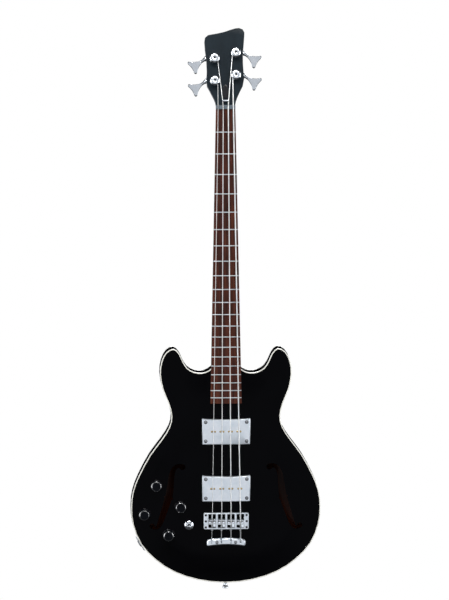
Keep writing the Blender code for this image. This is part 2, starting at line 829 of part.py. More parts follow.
rows = [(-GAP, 0.0)]
for place in fret_places:
    rows += [
        (place + FRET_WIDTH / 2, 0.0),
        (place, FRET_HEIGHT),
        (place - FRET_WIDTH / 2, 0.0),
    ]
rows.append((-BOARD_LENGTH, 0.0))
node("fingerboard", loft([board_ring(*row) for row in rows]), ROSEWOOD, neck_frame)

# Nut: a bar with a sloping slot for each string
string_x_nut = [NUT_PITCH * (k - 1.5) for k in range(4)]
string_x_bridge = [BRIDGE_PITCH * (k - 1.5) for k in range(4)]
string_x_tail = [TAIL_PITCH * (k - 1.5) for k in range(4)]
BREAK_ANGLE = math.radians(20)
nut_bends_at = 0.0012


def nut_section(x, slotted):
    """The nut's side view at x, as a ring from its base round over its top."""
    front_top = NUT_ACTION - GAP if slotted else NUT_RISE
    drop = (NUT_LENGTH - nut_bends_at) * math.tan(BREAK_ANGLE)
    rear_top = front_top - drop if slotted else NUT_RISE - 0.0012
    return [
        (x, BOARD_THICKNESS, GAP),
        (x, BOARD_THICKNESS, NUT_LENGTH),
        (x, -rear_top, NUT_LENGTH),
        (x, -front_top, nut_bends_at),
        (x, -front_top, GAP),
    ]


nut_rings = [nut_section(-BOARD_NUT_WIDTH / 2, False)]
for x, (_, diameter, *_) in zip(string_x_nut, STRINGS):
    reach = diameter / 2 + 2 * GAP
    nut_rings += [
        nut_section(x - reach - 0.0001, False),
        nut_section(x - reach, True),
        nut_section(x + reach, True),
        nut_section(x + reach + 0.0001, False),
    ]
nut_rings.append(nut_section(BOARD_NUT_WIDTH / 2, False))
node("nut", loft(nut_rings), NUT_PLASTIC, neck_frame)

# Truss-rod cover and string retainer, both screwed to the face of the head
face_on_head = Matrix.Rotation(math.radians(90), 4, "X")
cover_low, cover_high, cover_half = 0.0135, 0.0425, 0.0058
cover_outline = [(-cover_half, cover_low), (cover_half, cover_low), (cover_half, cover_high - 0.010)]
cover_outline += [
    (cover_half * math.cos(a), cover_high - 0.010 + 0.010 * math.sin(a)) for a in np.linspace(0.3, math.pi - 0.3, 7)
]
cover_outline.append((-cover_half, cover_high - 0.010))
node(
    "truss_rod_cover",
    prism(cover_outline, GAP, 0.0020, bevel=0.0005),
    BLACK_PLASTIC,
    head_frame,
    face_on_head,
)
RETAINER_ALONG = 0.0080
RETAINER_WIDTH = 0.0146
RETAINER_BAR = 0.0034
retainer_string_height = 0.0030
retainer_low = retainer_string_height + STRINGS[2][1] / 2 + GAP
retainer = node(
    "string_retainer",
    prism(
        [(x, y + RETAINER_ALONG) for x, y in rounded_box(RETAINER_WIDTH / 2, RETAINER_BAR / 2, 0.0016)],
        retainer_low,
        retainer_low + 0.0024,
        bevel=0.0006,
    ),
    CHROME,
    head_frame,
    face_on_head,
)
pillar = node(
    "retainer_pillar",
    cylinder(0.0017, GAP, retainer_low + 0.001, 12),
    CHROME,
    head_frame,
    face_on_head @ Matrix.Translation((0.0, RETAINER_ALONG, 0.0)),
)
carve(retainer, pillar, operation="UNION")

# Tuners: each has a housing with its bush, a post with its gear, and a key with its worm
head_bores = []
post_places = []


def key_outline():
    """Three rounded tips joined by shallow hollows, with one tip on the shaft."""
    outline = []
    for tip in range(3):
        middle = math.tau * tip / 3

        def at(radius, turn):
            return np.array((math.sin(middle + turn), -math.cos(middle + turn))) * radius

        cap = [at(KEY_TIP_CENTRE, 0.0) + at(KEY_TIP_RADIUS, math.radians(38 * k)) for k in range(-2, 3)]
        start, deep = cap[-1], at(KEY_HOLLOW, math.tau / 6)
        end = at(KEY_TIP_CENTRE, math.tau / 3) + at(KEY_TIP_RADIUS, math.tau / 3 - math.radians(76))
        curve = [(1 - t) ** 2 * start + 2 * t * (1 - t) * deep + t * t * end for t in (0.25, 0.5, 0.75)]
        outline += cap + curve
    return outline


def ear_solid():
    """The ear's flat body with a chamfer round both of its faces."""
    outline = np.array(key_outline())
    inner = outline * (1 - 0.0014 / KEY_TIP_CENTRE)
    levels = ((inner, -0.5), (outline, -0.22), (outline, 0.22), (inner, 0.5))
    return loft([[(x, y, KEY_THICKNESS * level) for x, y in line] for line, level in levels])


for name, diameter, side, along, turns in STRINGS:
    tuner = frame_at(
        f"tuner_{name}_frame",
        Matrix.Translation((side * POST_OFFSET, 0.0, along)) @ Matrix.Rotation(math.radians(90), 4, "X"),
        head_frame,
    )
    post_places.append((side * POST_OFFSET, along))
    shaft_way = Vector((side * math.cos(KEY_ANGLE), -math.sin(KEY_ANGLE), 0.0))
    sideways = Vector((side * math.sin(KEY_ANGLE), math.cos(KEY_ANGLE), 0.0))
    back = -HEAD_THICKNESS - GAP
    worm_level = back - WORM_DEPTH
    key_place = facing(shaft_way, sideways * WORM_DISTANCE + Vector((0.0, 0.0, worm_level)), (0.0, 0.0, 1.0))
    box_place = Matrix.Translation(sideways * (WORM_DISTANCE / 2)) @ Matrix.Rotation(
        math.atan2(shaft_way.y, shaft_way.x), 4, "Z"
    )
    housing = node(
        f"tuner_{name}_housing",
        prism(
            rounded_box(HOUSING_HALF_LENGTH, WORM_DISTANCE / 2 + 0.0080, 0.0050, 2),
            -back,
            HOUSING_DEPTH - back,
            bevel=0.0014,
        ),
        CHROME,
        tuner,
        box_place @ Matrix.Rotation(math.pi, 4, "X"),
    )
    bush = node(
        f"tuner_{name}_bush",
        turned(
            [
                (0.0, back - 0.002),
                (BUSH_RADIUS, back - 0.002),
                (BUSH_RADIUS, GAP),
                (BUSH_FLANGE_RADIUS, GAP),
                (BUSH_FLANGE_RADIUS, BUSH_FLANGE_HEIGHT - 0.0008),
                (BUSH_FLANGE_RADIUS - 0.0012, BUSH_FLANGE_HEIGHT),
                (0.0, BUSH_FLANGE_HEIGHT),
            ],
            16,
        ),
        CHROME,
        tuner,
    )
    boss = node(
        f"tuner_{name}_boss",
        cylinder(0.0052, 0.0, HOUSING_HALF_LENGTH + 0.0040, 12),
        CHROME,
        tuner,
        key_place,
    )
    gear_room = node(
        f"tuner_{name}_gear_room",
        cylinder(
            GEAR_RADIUS + RUNNING,
            worm_level - GEAR_THICKNESS / 2 - RUNNING,
            worm_level + GEAR_THICKNESS / 2 + RUNNING,
            18,
        ),
        CHROME,
        tuner,
    )
    post_bore = node(
        f"tuner_{name}_post_bore",
        cylinder(POST_SHAFT_RADIUS + RUNNING, worm_level, 0.01, 14),
        CHROME,
        tuner,
    )
    worm_bore = node(
        f"tuner_{name}_worm_bore",
        turned(
            [
                (0.0, -HOUSING_HALF_LENGTH + 0.0015),
                (WORM_RADIUS + RUNNING, -HOUSING_HALF_LENGTH + 0.0015),
                (WORM_RADIUS + RUNNING, HOUSING_HALF_LENGTH - 0.0010),
                (KEY_SHAFT_RADIUS + RUNNING, HOUSING_HALF_LENGTH - 0.0010),
                (KEY_SHAFT_RADIUS + RUNNING, 0.03),
                (0.0, 0.03),
            ],
            10,
        ),
        CHROME,
        tuner,
        key_place,
    )
    carve(housing, bush, boss, operation="UNION")
    carve(housing, gear_room, post_bore, worm_bore)

    gear_low = worm_level - GEAR_THICKNESS / 2
    gear_high = worm_level + GEAR_THICKNESS / 2
    node(
        f"tuner_{name}_post",
        turned(
            [
                (0.0, gear_low),
                (GEAR_RADIUS, gear_low),
                (GEAR_RADIUS, gear_high),
                (POST_SHAFT_RADIUS, gear_high),
                (POST_SHAFT_RADIUS, BUSH_FLANGE_HEIGHT + 2 * GAP),
                (0.0072, BUSH_FLANGE_HEIGHT + 2 * GAP),
                (0.0072, POST_WAIST_LOW - 0.0004),
                (POST_WAIST_RADIUS, POST_WAIST_LOW),
                (POST_WAIST_RADIUS, POST_WAIST_HIGH),
                (POST_CAP_RADIUS - 0.0006, POST_WAIST_HIGH),
                (POST_CAP_RADIUS, POST_WAIST_HIGH + 0.0012),
                (POST_CAP_RADIUS - 0.0008, POST_TOP - 0.0010),
                (POST_CAP_RADIUS - 0.0040, POST_TOP),
                (0.0026, POST_TOP - 0.0003),
                (0.0020, POST_TOP - 0.0060),
                (0.0, POST_TOP - 0.0060),
            ],
            14,
        ),
        CHROME,
        tuner,
    )
    key = node(
        f"tuner_{name}_key",
        turned(
            [
                (0.0, -HOUSING_HALF_LENGTH + 0.0020),
                (WORM_RADIUS, -HOUSING_HALF_LENGTH + 0.0020),
                (WORM_RADIUS, HOUSING_HALF_LENGTH - 0.0014),
                (KEY_SHAFT_RADIUS, HOUSING_HALF_LENGTH - 0.0014),
                (KEY_SHAFT_RADIUS, HOUSING_HALF_LENGTH + 0.0046),
                (0.0044, HOUSING_HALF_LENGTH + 0.0046),
                (0.0044, HOUSING_HALF_LENGTH + 0.0066),
                (0.0031, HOUSING_HALF_LENGTH + 0.0090),
                (0.0031, KEY_STEM + 0.0045),
                (0.0, KEY_STEM + 0.0045),
            ],
            10,
        ),
        CHROME,
        tuner,
        key_place,
    )
    ear = node(
        f"tuner_{name}_ear",
        ear_solid(),
        CHROME,
        tuner,
        key_place
        @ Matrix.Translation((0.0, 0.0, KEY_STEM + KEY_TIP_CENTRE + KEY_TIP_RADIUS))
        @ Matrix.Rotation(math.radians(90), 4, "X"),
    )
    carve(key, ear, operation="UNION")
    head_bores.append(
        node(
            f"head_bore_{name}",
            cylinder(BUSH_RADIUS + GAP, -0.03, 0.01, 18),
            BLACK_LACQUER,
            tuner,
        )
    )
carve(neck, *head_bores)

# Strings: from the tailpiece over the saddle and nut to a first turn on the post, and the turns that ride with it
tail_front = TAIL_LEVEL + TAIL_BAR / 2
tail_slot_height = TAIL_TOP - 0.0040
for k, (name, diameter, side, along, turns) in enumerate(STRINGS):
    radius = diameter / 2
    x_nut, x_bridge, x_tail = string_x_nut[k], string_x_bridge[k], string_x_tail[k]
    witness = -SCALE_LENGTH - SADDLE_SETBACK[k]
    saddle_point = neck_origin @ Vector((x_bridge, -SADDLE_ACTION - radius, witness))
    points = [
        Vector((x_tail, -(tail_slot_height - 0.0016), TAIL_LEVEL - 0.0030)),
        Vector((x_tail, -tail_slot_height, tail_front)),
        saddle_point + Vector((0.0, 0.0007, -0.0060)),
        saddle_point + Vector((0.0, 0.0001, -0.0030)),
        saddle_point,
        neck_origin @ Vector((x_nut, -NUT_ACTION - radius, nut_bends_at)),
    ]
    head_points = []
    centre = Vector(post_places[k])
    reach = POST_WAIST_RADIUS + GAP + radius
    first_level = POST_WAIST_LOW + GAP + radius
    leaving = Vector((x_nut, 0.0))
    if name in ("d", "a"):
        leaving = Vector((x_nut + side * 0.0008, RETAINER_ALONG))
        head_points.append((leaving.x, -retainer_string_height, leaving.y))
    to_centre = centre - leaving
    tilt = math.acos(reach / to_centre.length)
    start = math.atan2(-to_centre.y, -to_centre.x) + (-side) * tilt
    sweep = -side * math.radians(230)
    for t in np.linspace(0, 1, 10):
        angle = start + sweep * t
        head_points.append(
            (centre.x + reach * math.cos(angle), -first_level, centre.y + reach * math.sin(angle))
        )
    points += [head_world @ Vector(point) for point in head_points]
    wire(f"string_{name}", points, radius, NICKEL_WIRE)
    pitch = diameter + WINDING_GAP
    winding = []
    steps = int(round(turns * 24))
    for i in range(steps + 1):
        angle = start + sweep + math.radians(-side * 20) - side * math.tau * turns * i / steps
        level = first_level + pitch * 1.02 + pitch * turns * i / steps
        winding.append((reach * math.cos(angle), reach * math.sin(angle), level))
    wire(f"string_{name}_winding", winding, radius, NICKEL_WIRE, bpy.data.objects[f"tuner_{name}_frame"])
    turn_points = np.array(winding)
    apart = np.linalg.norm(turn_points[:, None] - turn_points[None], axis=2)
    order = np.arange(len(turn_points))
    apart[abs(order[:, None] - order[None]) < 12] = 1.0
    print(f"string_{name}_winding: least gap to itself {1000 * (apart.min() - diameter):.2f} mm")

# Pickups: a chrome cover on the top over a coil with its four poles
COVER_BASE = EDGE_FRONT + FRONT_ARCH + GAP
string_slope = math.tan(NECK_ANGLE + (SADDLE_ACTION - NUT_ACTION) / SCALE_LENGTH)


def string_height(level):
    """The height of the strings' underside at a level on the body."""
    return -SADDLE.y - (level - SADDLE.z) * string_slope


def cover_outline_at(level, inset):
    """A pickup cover's plan: straight sides and foot, with the top edge dipping in the middle."""
    half_width = PICKUP_WIDTH / 2 - inset
    low, high = -PICKUP_HEIGHT / 2 + inset, PICKUP_HEIGHT / 2 - inset
    outline = [(-half_width, low + 0.0015), (-half_width + 0.0015, low), (half_width - 0.0015, low)]
    outline.append((half_width, low + 0.0015))
    outline += [
        (x, level_ + high - PICKUP_DIP * (1 - (x / half_width) ** 2))
        for level_, x in zip(np.zeros(9), np.linspace(half_width, -half_width, 9))
    ]
    return [(x, z + level) for x, z in outline]


for name, level in zip(("bridge", "neck"), PICKUP_LEVELS):
    top = string_height(level) - PICKUP_STRING_GAP
    upright = Matrix.Rotation(math.radians(90), 4, "X")
    cover = node(
        f"pickup_cover_{name}",
        prism(cover_outline_at(level, 0.0), COVER_BASE, top, bevel=0.0012),
        CHROME,
        None,
        upright,
    )
    room = node(
        f"pickup_room_{name}",
        prism(cover_outline_at(level, PICKUP_WALL), COVER_BASE - 0.005, top - PICKUP_WALL),
        CHROME,
        None,
        upright,
    )
    pole_holes = [
        node(
            f"pole_hole_{name}_{k}",
            cylinder(POLE_RADIUS + GAP, top - 0.006, top + 0.002, 10),
            CHROME,
            None,
            upright @ Matrix.Translation((x, level, 0.0)),
        )
        for k, x in enumerate(string_x_bridge)
    ]
    carve(cover, room, *pole_holes)
    coil_top = top - PICKUP_WALL - GAP
    coil = node(
        f"pickup_coil_{name}",
        prism(
            [(x, z + level) for x, z in rounded_box(COIL_HALF_WIDTH, COIL_HALF_HEIGHT, COIL_HALF_HEIGHT - 0.001, 4)],
            EDGE_FRONT + FRONT_ARCH - PLATE_THICKNESS,
            coil_top,
        ),
        COPPER_COIL,
        None,
        upright,
    )
    poles = [
        node(
            f"pole_{name}_{k}",
            cylinder(POLE_RADIUS, coil_top - 0.002, top - 0.0004, 10),
            COPPER_COIL,
            None,
            upright @ Matrix.Translation((x, level, 0.0)),
        )
        for k, x in enumerate(string_x_bridge)
    ]
    carve(coil, *poles, operation="UNION")

# Bridge plate: a frame with a window for each saddle, on two studs
BRIDGE_TOP = -SADDLE.y - BRIDGE_BELOW_STRING
BRIDGE_BASE = BRIDGE_TOP - BRIDGE_THICKNESS
bridge_low = bridge_high - BRIDGE_LENGTH
upright = Matrix.Rotation(math.radians(90), 4, "X")
window_low, window_high = bridge_low + WINDOW_REAR_WALL, bridge_high - WINDOW_FRONT_WALL
bridge_plate = node(
    "bridge_plate",
    prism(
        [(x, z + BRIDGE_MIDDLE) for x, z in rounded_box(BRIDGE_WIDTH / 2, BRIDGE_LENGTH / 2, 0.0025)],
        BRIDGE_BASE,
        BRIDGE_TOP,
        bevel=0.0010,
    ),
    CHROME,
    None,
    upright,
)
studs = [
    node(
        f"bridge_stud_{side}",
        turned(
            [
                (0.0, -0.010),
                (STUD_RADIUS, -0.010),
                (STUD_RADIUS, EDGE_FRONT + FRONT_ARCH + GAP),
                (0.0062, EDGE_FRONT + FRONT_ARCH + GAP),
                (0.0062, EDGE_FRONT + FRONT_ARCH + 0.0022),
                (STUD_RADIUS, EDGE_FRONT + FRONT_ARCH + 0.0022),
                (STUD_RADIUS, BRIDGE_BASE + 0.002),
                (0.0, BRIDGE_BASE + 0.002),
            ],
            10,
        ),
        CHROME,
        None,
        upright @ Matrix.Translation((side * STUD_SPREAD, BRIDGE_MIDDLE, 0.0)),
    )
    for side in (-1, 1)
]
carve(bridge_plate, *studs, operation="UNION")
windows = [
    node(
        f"saddle_window_{k}",
        prism(
            [
                (x + a * WINDOW_WIDTH / 2, z)
                for a, z in ((-1, window_low), (1, window_low), (1, window_high), (-1, window_high))
            ],
            BRIDGE_BASE - 0.002,
            BRIDGE_TOP + 0.002,
        ),
        CHROME,
        None,
        upright,
    )
    for k, x in enumerate(string_x_bridge)
]
screw_level = -SADDLE.y - SADDLE_SCREW_DROP
screw_ways = [
    node(
        f"saddle_screw_way_{k}",
        cylinder(SADDLE_SCREW_RADIUS + RUNNING, bridge_low - 0.004, window_low + 0.004, 8),
        CHROME,
        None,
        Matrix.Translation((x, -screw_level, 0.0)),
    )
    for k, x in enumerate(string_x_bridge)
]
fixing_holes = [
    node(
        f"bridge_hole_{side}_{level}",
        cylinder(0.0021, BRIDGE_TOP - 0.0045, BRIDGE_TOP + 0.002, 8),
        CHROME,
        None,
        upright @ Matrix.Translation((side * (BRIDGE_WIDTH / 2 - 0.0047), BRIDGE_MIDDLE + level * 0.0124, 0.0)),
    )
    for side in (-1, 1)
    for level in (-1, 0, 1)
]
carve(bridge_plate, *windows, *screw_ways, *fixing_holes)

# Saddles: each has a ridge with a notch for the string, two sockets for its height screws, and a foot behind on the right
for k, (name, diameter, *_) in enumerate(STRINGS):
    x, witness = string_x_bridge[k], SADDLE.z - SADDLE_SETBACK[k]
    ridge = -SADDLE.y - GAP
    deck = BRIDGE_TOP + 0.0012
    floor = BRIDGE_BASE + 0.0006
    half_width = WINDOW_WIDTH / 2 - GAP
    side_view = [
        (witness + 0.0026, floor),
        (witness + 0.0026, deck),
        (witness + 0.0006, ridge + 0.0014),
        (witness - 0.0008, ridge + 0.0014),
        (witness - 0.0030, deck + 0.0006),
        (witness - 0.0102, deck),
        (witness - 0.0102, floor),
    ]
    saddle = node(
        f"saddle_{name}",
        loft([[(a * half_width, -h, z - witness) for z, h in side_view] for a in (-1, 1)]),
        CHROME,
        None,
        Matrix.Translation((x, 0.0, witness)),
    )
    foot = node(
        f"saddle_foot_{name}",
        prism([(0.0022, -0.0150), (0.0070, -0.0150), (0.0070, -0.0090), (0.0022, -0.0090)], floor, deck),
        CHROME,
        None,
        Matrix.Translation((x, 0.0, witness)) @ upright,
    )
    notch = node(
        f"saddle_notch_{name}",
        loft(
            [
                [
                    (-diameter / 2 - GAP, -ridge - drop, z),
                    (diameter / 2 + GAP, -ridge - drop, z),
                    (diameter / 2 + GAP + 0.0010, -ridge - 0.006, z),
                    (-diameter / 2 - GAP - 0.0010, -ridge - 0.006, z),
                ]
                for z, drop in ((-0.012, -0.0002), (0.012, -0.0002))
            ]
        ),
        CHROME,
        None,
        Matrix.Translation((x, 0.0, witness)),
    )
    bore = node(
        f"saddle_bore_{name}",
        cylinder(SADDLE_SCREW_RADIUS + RUNNING, -0.02, 0.02, 8),
        CHROME,
        None,
        Matrix.Translation((x, -screw_level, witness)),
    )
    sockets = [
        node(
            f"saddle_socket_{name}_{side}",
            cylinder(0.0023, deck - 0.0040, deck + 0.004, 10),
            CHROME,
            None,
            upright @ Matrix.Translation((x + side * 0.0046, witness - 0.0062, 0.0)),
        )
        for side in (-1, 1)
    ]
    carve(saddle, foot, operation="UNION")
    carve(saddle, notch, bore, *sockets)
    node(
        f"saddle_screw_{name}",
        turned(
            [
                (0.0, bridge_low - 0.0018),
                (0.0012, bridge_low - 0.0018),
                (0.0012, bridge_low - GAP - 0.0026),
                (SADDLE_SCREW_HEAD, bridge_low - GAP - 0.0026),
                (SADDLE_SCREW_HEAD, bridge_low - GAP),
                (SADDLE_SCREW_RADIUS, bridge_low - GAP),
                (SADDLE_SCREW_RADIUS, window_high - GAP),
                (0.0, window_high - GAP),
            ],
            8,
        ),
        STEEL,
        None,
        Matrix.Translation((x, -screw_level, 0.0)),
    )

# Tailpiece: a bowed bar on two studs, slotted for the strings
TAIL_BASE = TAIL_TOP - TAIL_THICKNESS


def tail_plan():
    """The bar's plan: both long edges bow towards the neck in the middle, and the ends are rounded."""
    half_width = TAIL_WIDTH / 2
    edge = []
    for x in np.linspace(half_width - 0.0025, -half_width + 0.0025, 11):
        edge.append((x, TAIL_LEVEL + TAIL_BAR / 2 - TAIL_BOW * (x / half_width) ** 2))
    back_edge = [(x, z - TAIL_BAR + 0.0010) for x, z in reversed(edge)]
    middle = TAIL_LEVEL - TAIL_BOW
    return edge + [(-half_width, middle + 0.004), (-half_width, middle - 0.004)] + back_edge + [
        (half_width, middle - 0.004),
        (half_width, middle + 0.004),
    ]


tailpiece = node("tailpiece", prism(tail_plan(), TAIL_BASE, TAIL_TOP, bevel=0.0022), CHROME, None, upright)
tail_studs = [
    node(
        f"tail_stud_{side}",
        turned(
            [
                (0.0, -0.010),
                (STUD_RADIUS, -0.010),
                (STUD_RADIUS, EDGE_FRONT + FRONT_ARCH + GAP),
                (0.0065, EDGE_FRONT + FRONT_ARCH + GAP),
                (0.0065, TAIL_BASE + 0.001),
                (0.0, TAIL_BASE + 0.001),
            ],
            10,
        ),
        CHROME,
        None,
        upright @ Matrix.Translation((side * TAIL_STUD_SPREAD, TAIL_LEVEL, 0.0)),
    )
    for side in (-1, 1)
]
tail_slots = []
for k, x in enumerate(string_x_tail):
    reach = STRINGS[k][1] / 2 + 2 * GAP
    tail_slots.append(
        node(
            f"tail_slot_{k}",
            prism(
                [
                    (x - reach, TAIL_LEVEL - 0.0034),
                    (x + reach, TAIL_LEVEL - 0.0034),
                    (x + reach, TAIL_LEVEL + 0.02),
                    (x - reach, TAIL_LEVEL + 0.02),
                ],
                tail_slot_height - 0.0016 - STRINGS[k][1] / 2 - 2 * GAP,
                TAIL_TOP + 0.002,
            ),
            CHROME,
            None,
            upright,
        )
    )
carve(tailpiece, *tail_studs, operation="UNION")
carve(tailpiece, *tail_slots)

# Controls: potentiometers under the top, knobs on their shafts, and the switch
for name, x, z in KNOB_PLACES:
    normal = top_normal(x, z)
    place = facing(normal, (x, -top_height(x, z), z))
    under = -PLATE_THICKNESS - 0.0008
    pot = node(
        f"pot_{name}",
        turned(
            [
                (SHAFT_RADIUS + RUNNING, POT_BUSH_HEIGHT),
                (SHAFT_RADIUS + RUNNING, under - POT_DEPTH),
                (POT_RADIUS, under - POT_DEPTH),
                (POT_RADIUS, under),
                (POT_BUSH_RADIUS, under),
                (POT_BUSH_RADIUS, GAP),
                (0.0070, GAP),
                (0.0070, 0.0014),
                (POT_BUSH_RADIUS, 0.0014),
                (POT_BUSH_RADIUS, POT_BUSH_HEIGHT),
            ],
            12,
        ),
        STEEL,
        None,
        place,
    )
    room_radius = 0.0078
    node(
        f"knob_{name}",
        turned(
            [
                (0.0, under - POT_DEPTH + 0.003),
                (SHAFT_RADIUS, under - POT_DEPTH + 0.003),
                (SHAFT_RADIUS, POT_BUSH_HEIGHT + 0.0010),
                (room_radius, POT_BUSH_HEIGHT + 0.0010),
                (room_radius, KNOB_LIFT),
                (KNOB_RADIUS, KNOB_LIFT),
                (KNOB_RADIUS, KNOB_LIFT + 0.0022),
                (KNOB_RADIUS - 0.0010, KNOB_LIFT + 0.0040),
                (KNOB_RADIUS - 0.0018, KNOB_LIFT + KNOB_HEIGHT - 0.0018),
                (KNOB_RADIUS - 0.0034, KNOB_LIFT + KNOB_HEIGHT - 0.0003),
                (KNOB_RADIUS - 0.0056, KNOB_LIFT + KNOB_HEIGHT),
                (0.0, KNOB_LIFT + KNOB_HEIGHT - 0.0008),
            ],
            14,
        ),
        BLACK_PLASTIC,
        None,
        place,
    )

switch_normal = top_normal(*SWITCH_PLACE)
switch_top = top_height(*SWITCH_PLACE)
switch_place = facing(switch_normal, (SWITCH_PLACE[0], -switch_top, SWITCH_PLACE[1]))
switch_body = node(
    "switch_body",
    turned(
        [
            (0.0036, 0.0040),
            (0.0030, -0.0010),
            (0.0030, -0.0070),
            (0.0042, -0.0110),
            (0.0042, -0.0210),
            (0.0080, -0.0210),
            (0.0080, -PLATE_THICKNESS - 0.0008),
            (0.0058, -PLATE_THICKNESS - 0.0008),
            (0.0058, GAP),
            (SWITCH_RADIUS, GAP),
            (SWITCH_RADIUS, 0.0016),
            (SWITCH_RADIUS - 0.0016, 0.0030),
            (0.0060, 0.0034),
            (0.0058, 0.0040),
        ],
        14,
    ),
    CHROME,
    None,
    switch_place,
)
switch_pivot = -0.0040
node(
    "switch_lever",
    turned(
        [
            (0.0, -0.0138),
            (0.0016, -0.0138),
            (0.0016, switch_pivot - 0.0024),
            (0.0026, switch_pivot),
            (0.0016, switch_pivot + 0.0024),
            (0.0016, 0.0070),
            (0.0030, 0.0100),
            (0.0034, 0.0150),
            (0.0024, 0.0172),
            (0.0, 0.0180),
        ],
        8,
    ),
    STEEL,
    None,
    switch_place,
)

# Output jack on the lower left rim
near_jack = half * (-1, 1)
jack_index = int(abs(near_jack[:, 1] - JACK_LEVEL)[: len(near_jack) // 3].argmin())
jack_point = near_jack[jack_index]
jack_along = near_jack[jack_index + 1] - near_jack[jack_index - 1]
jack_along /= np.linalg.norm(jack_along)
jack_out = Vector((-abs(jack_along[1]), 0.0, -abs(jack_along[0]))).normalized()
jack_sag = JACK_PLATE_LENGTH**2 / (8 * 0.115)
jack_place = facing(jack_out, Vector((jack_point[0], 0.0, jack_point[1])), (0.0, -1.0, 0.0))
jack_plate = node(
    "jack_plate",
    prism(
        rounded_box(JACK_PLATE_LENGTH / 2, JACK_PLATE_WIDTH / 2, 0.004),
        GAP,
        GAP + JACK_PLATE_THICKNESS,
        bevel=0.0005,
    ),
    CHROME,
    None,
    jack_place,
)
jack_hole = node("jack_hole", cylinder(0.0052, -0.01, 0.01, 16), CHROME, None, jack_place)
carve(jack_plate, jack_hole)
node(
    "jack_socket",
    turned(
        [
            (JACK_BORE_RADIUS, 0.0042),
            (JACK_BORE_RADIUS, -0.0260),
            (0.0070, -0.0260),
            (0.0070, -RIM_WALL - 0.0010),
            (0.0048, -RIM_WALL - 0.0010),
            (0.0048, GAP + JACK_PLATE_THICKNESS + GAP),
            (0.0072, GAP + JACK_PLATE_THICKNESS + GAP),
            (0.0072, 0.0036),
            (0.0048, 0.0042),
        ],
        12,
    ),
    STEEL,
    None,
    jack_place,
)
rim_jack_way = node("rim_jack_way", cylinder(0.0052, -0.02, 0.01, 16), CHROME, None, jack_place)
carve(body_rim, rim_jack_way)


# Strap buttons: one on the tail, one on the back of the heel
def strap_button(name, place, length):
    node(
        name,
        turned(
            [
                (0.0, GAP),
                (BUTTON_WAIST_RADIUS + 0.0012, GAP),
                (BUTTON_WAIST_RADIUS, 0.0020),
                (BUTTON_WAIST_RADIUS - 0.0004, 0.45 * length),
                (BUTTON_RADIUS - 0.0006, length - 0.0034),
                (BUTTON_RADIUS, length - 0.0022),
                (BUTTON_RADIUS - 0.0004, length - 0.0004),
                (BUTTON_RADIUS - 0.0012, length),
                (0.0, length),
            ],
            14,
        ),
        CHROME,
        None,
        place,
    )


tail_edge = HALF_OUTLINE[0][1]
strap_button("strap_button_end", facing((0.0, 0.0, -1.0), (0.0, 0.0, tail_edge), (0.0, 1.0, 0.0)), tail_edge)
HEEL_BUTTON_LEVEL = 0.440
button_foot = circle(0.0, HEEL_BUTTON_LEVEL, BUTTON_WAIST_RADIUS + 0.0012)
heel_button_depth = float(-back_rear(button_foot).min())
strap_button(
    "strap_button_heel",
    facing((0.0, 1.0, 0.0), (0.0, heel_button_depth, HEEL_BUTTON_LEVEL)),
    tail_edge,
)
bpy.context.view_layer.update()
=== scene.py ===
"""Looks of a left-handed semi-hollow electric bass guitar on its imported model. Metres, front towards -Y."""

import json
import math

import bmesh
import bpy
import numpy as np
from mathutils import Matrix, Vector
from mathutils.bvhtree import BVHTree

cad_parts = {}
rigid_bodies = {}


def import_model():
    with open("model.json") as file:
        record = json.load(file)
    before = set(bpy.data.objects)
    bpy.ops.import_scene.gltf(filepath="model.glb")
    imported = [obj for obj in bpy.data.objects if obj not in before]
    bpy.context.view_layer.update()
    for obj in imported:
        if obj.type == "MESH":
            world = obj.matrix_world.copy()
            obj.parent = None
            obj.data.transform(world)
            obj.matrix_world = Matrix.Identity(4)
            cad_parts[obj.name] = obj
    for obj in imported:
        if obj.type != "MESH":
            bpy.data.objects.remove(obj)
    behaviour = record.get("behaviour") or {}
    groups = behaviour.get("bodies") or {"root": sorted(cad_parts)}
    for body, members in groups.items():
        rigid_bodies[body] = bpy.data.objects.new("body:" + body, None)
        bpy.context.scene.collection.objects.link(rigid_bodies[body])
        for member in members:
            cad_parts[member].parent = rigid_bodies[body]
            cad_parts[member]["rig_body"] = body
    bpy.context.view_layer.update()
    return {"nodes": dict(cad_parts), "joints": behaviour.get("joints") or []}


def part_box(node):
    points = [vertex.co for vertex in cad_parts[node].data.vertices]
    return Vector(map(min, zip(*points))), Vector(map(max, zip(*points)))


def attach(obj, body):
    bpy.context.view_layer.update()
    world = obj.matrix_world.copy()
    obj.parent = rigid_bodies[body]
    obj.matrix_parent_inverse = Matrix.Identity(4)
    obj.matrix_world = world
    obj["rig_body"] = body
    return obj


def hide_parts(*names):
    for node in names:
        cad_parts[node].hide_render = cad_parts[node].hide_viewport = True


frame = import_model()
scene = bpy.context.scene


def linear(code):
    """A colour written as a hex code, as linear light."""
    parts = [int(code[i : i + 2], 16) / 255 for i in (1, 3, 5)]
    return (*[c / 12.92 if c <= 0.04045 else ((c + 0.055) / 1.055) ** 2.4 for c in parts], 1.0)


def add(tree, kind, links=None, **values):
    """Adds a shader node, sets its properties and inputs by name, and links its inputs."""
    node = tree.nodes.new("ShaderNode" + kind)
    for key, value in values.items():
        if hasattr(node, key):
            setattr(node, key, value)
        else:
            node.inputs[key.replace("_", " ")].default_value = value
    for key, socket in (links or {}).items():
        tree.links.new(socket, node.inputs[key])
    return node


def new_material(name):
    """A new material with its node tree and its Principled shader."""
    material = bpy.data.materials.new(name)
    material.use_nodes = True
    tree = material.node_tree
    shader = tree.nodes["Principled BSDF"]
    return material, tree, shader


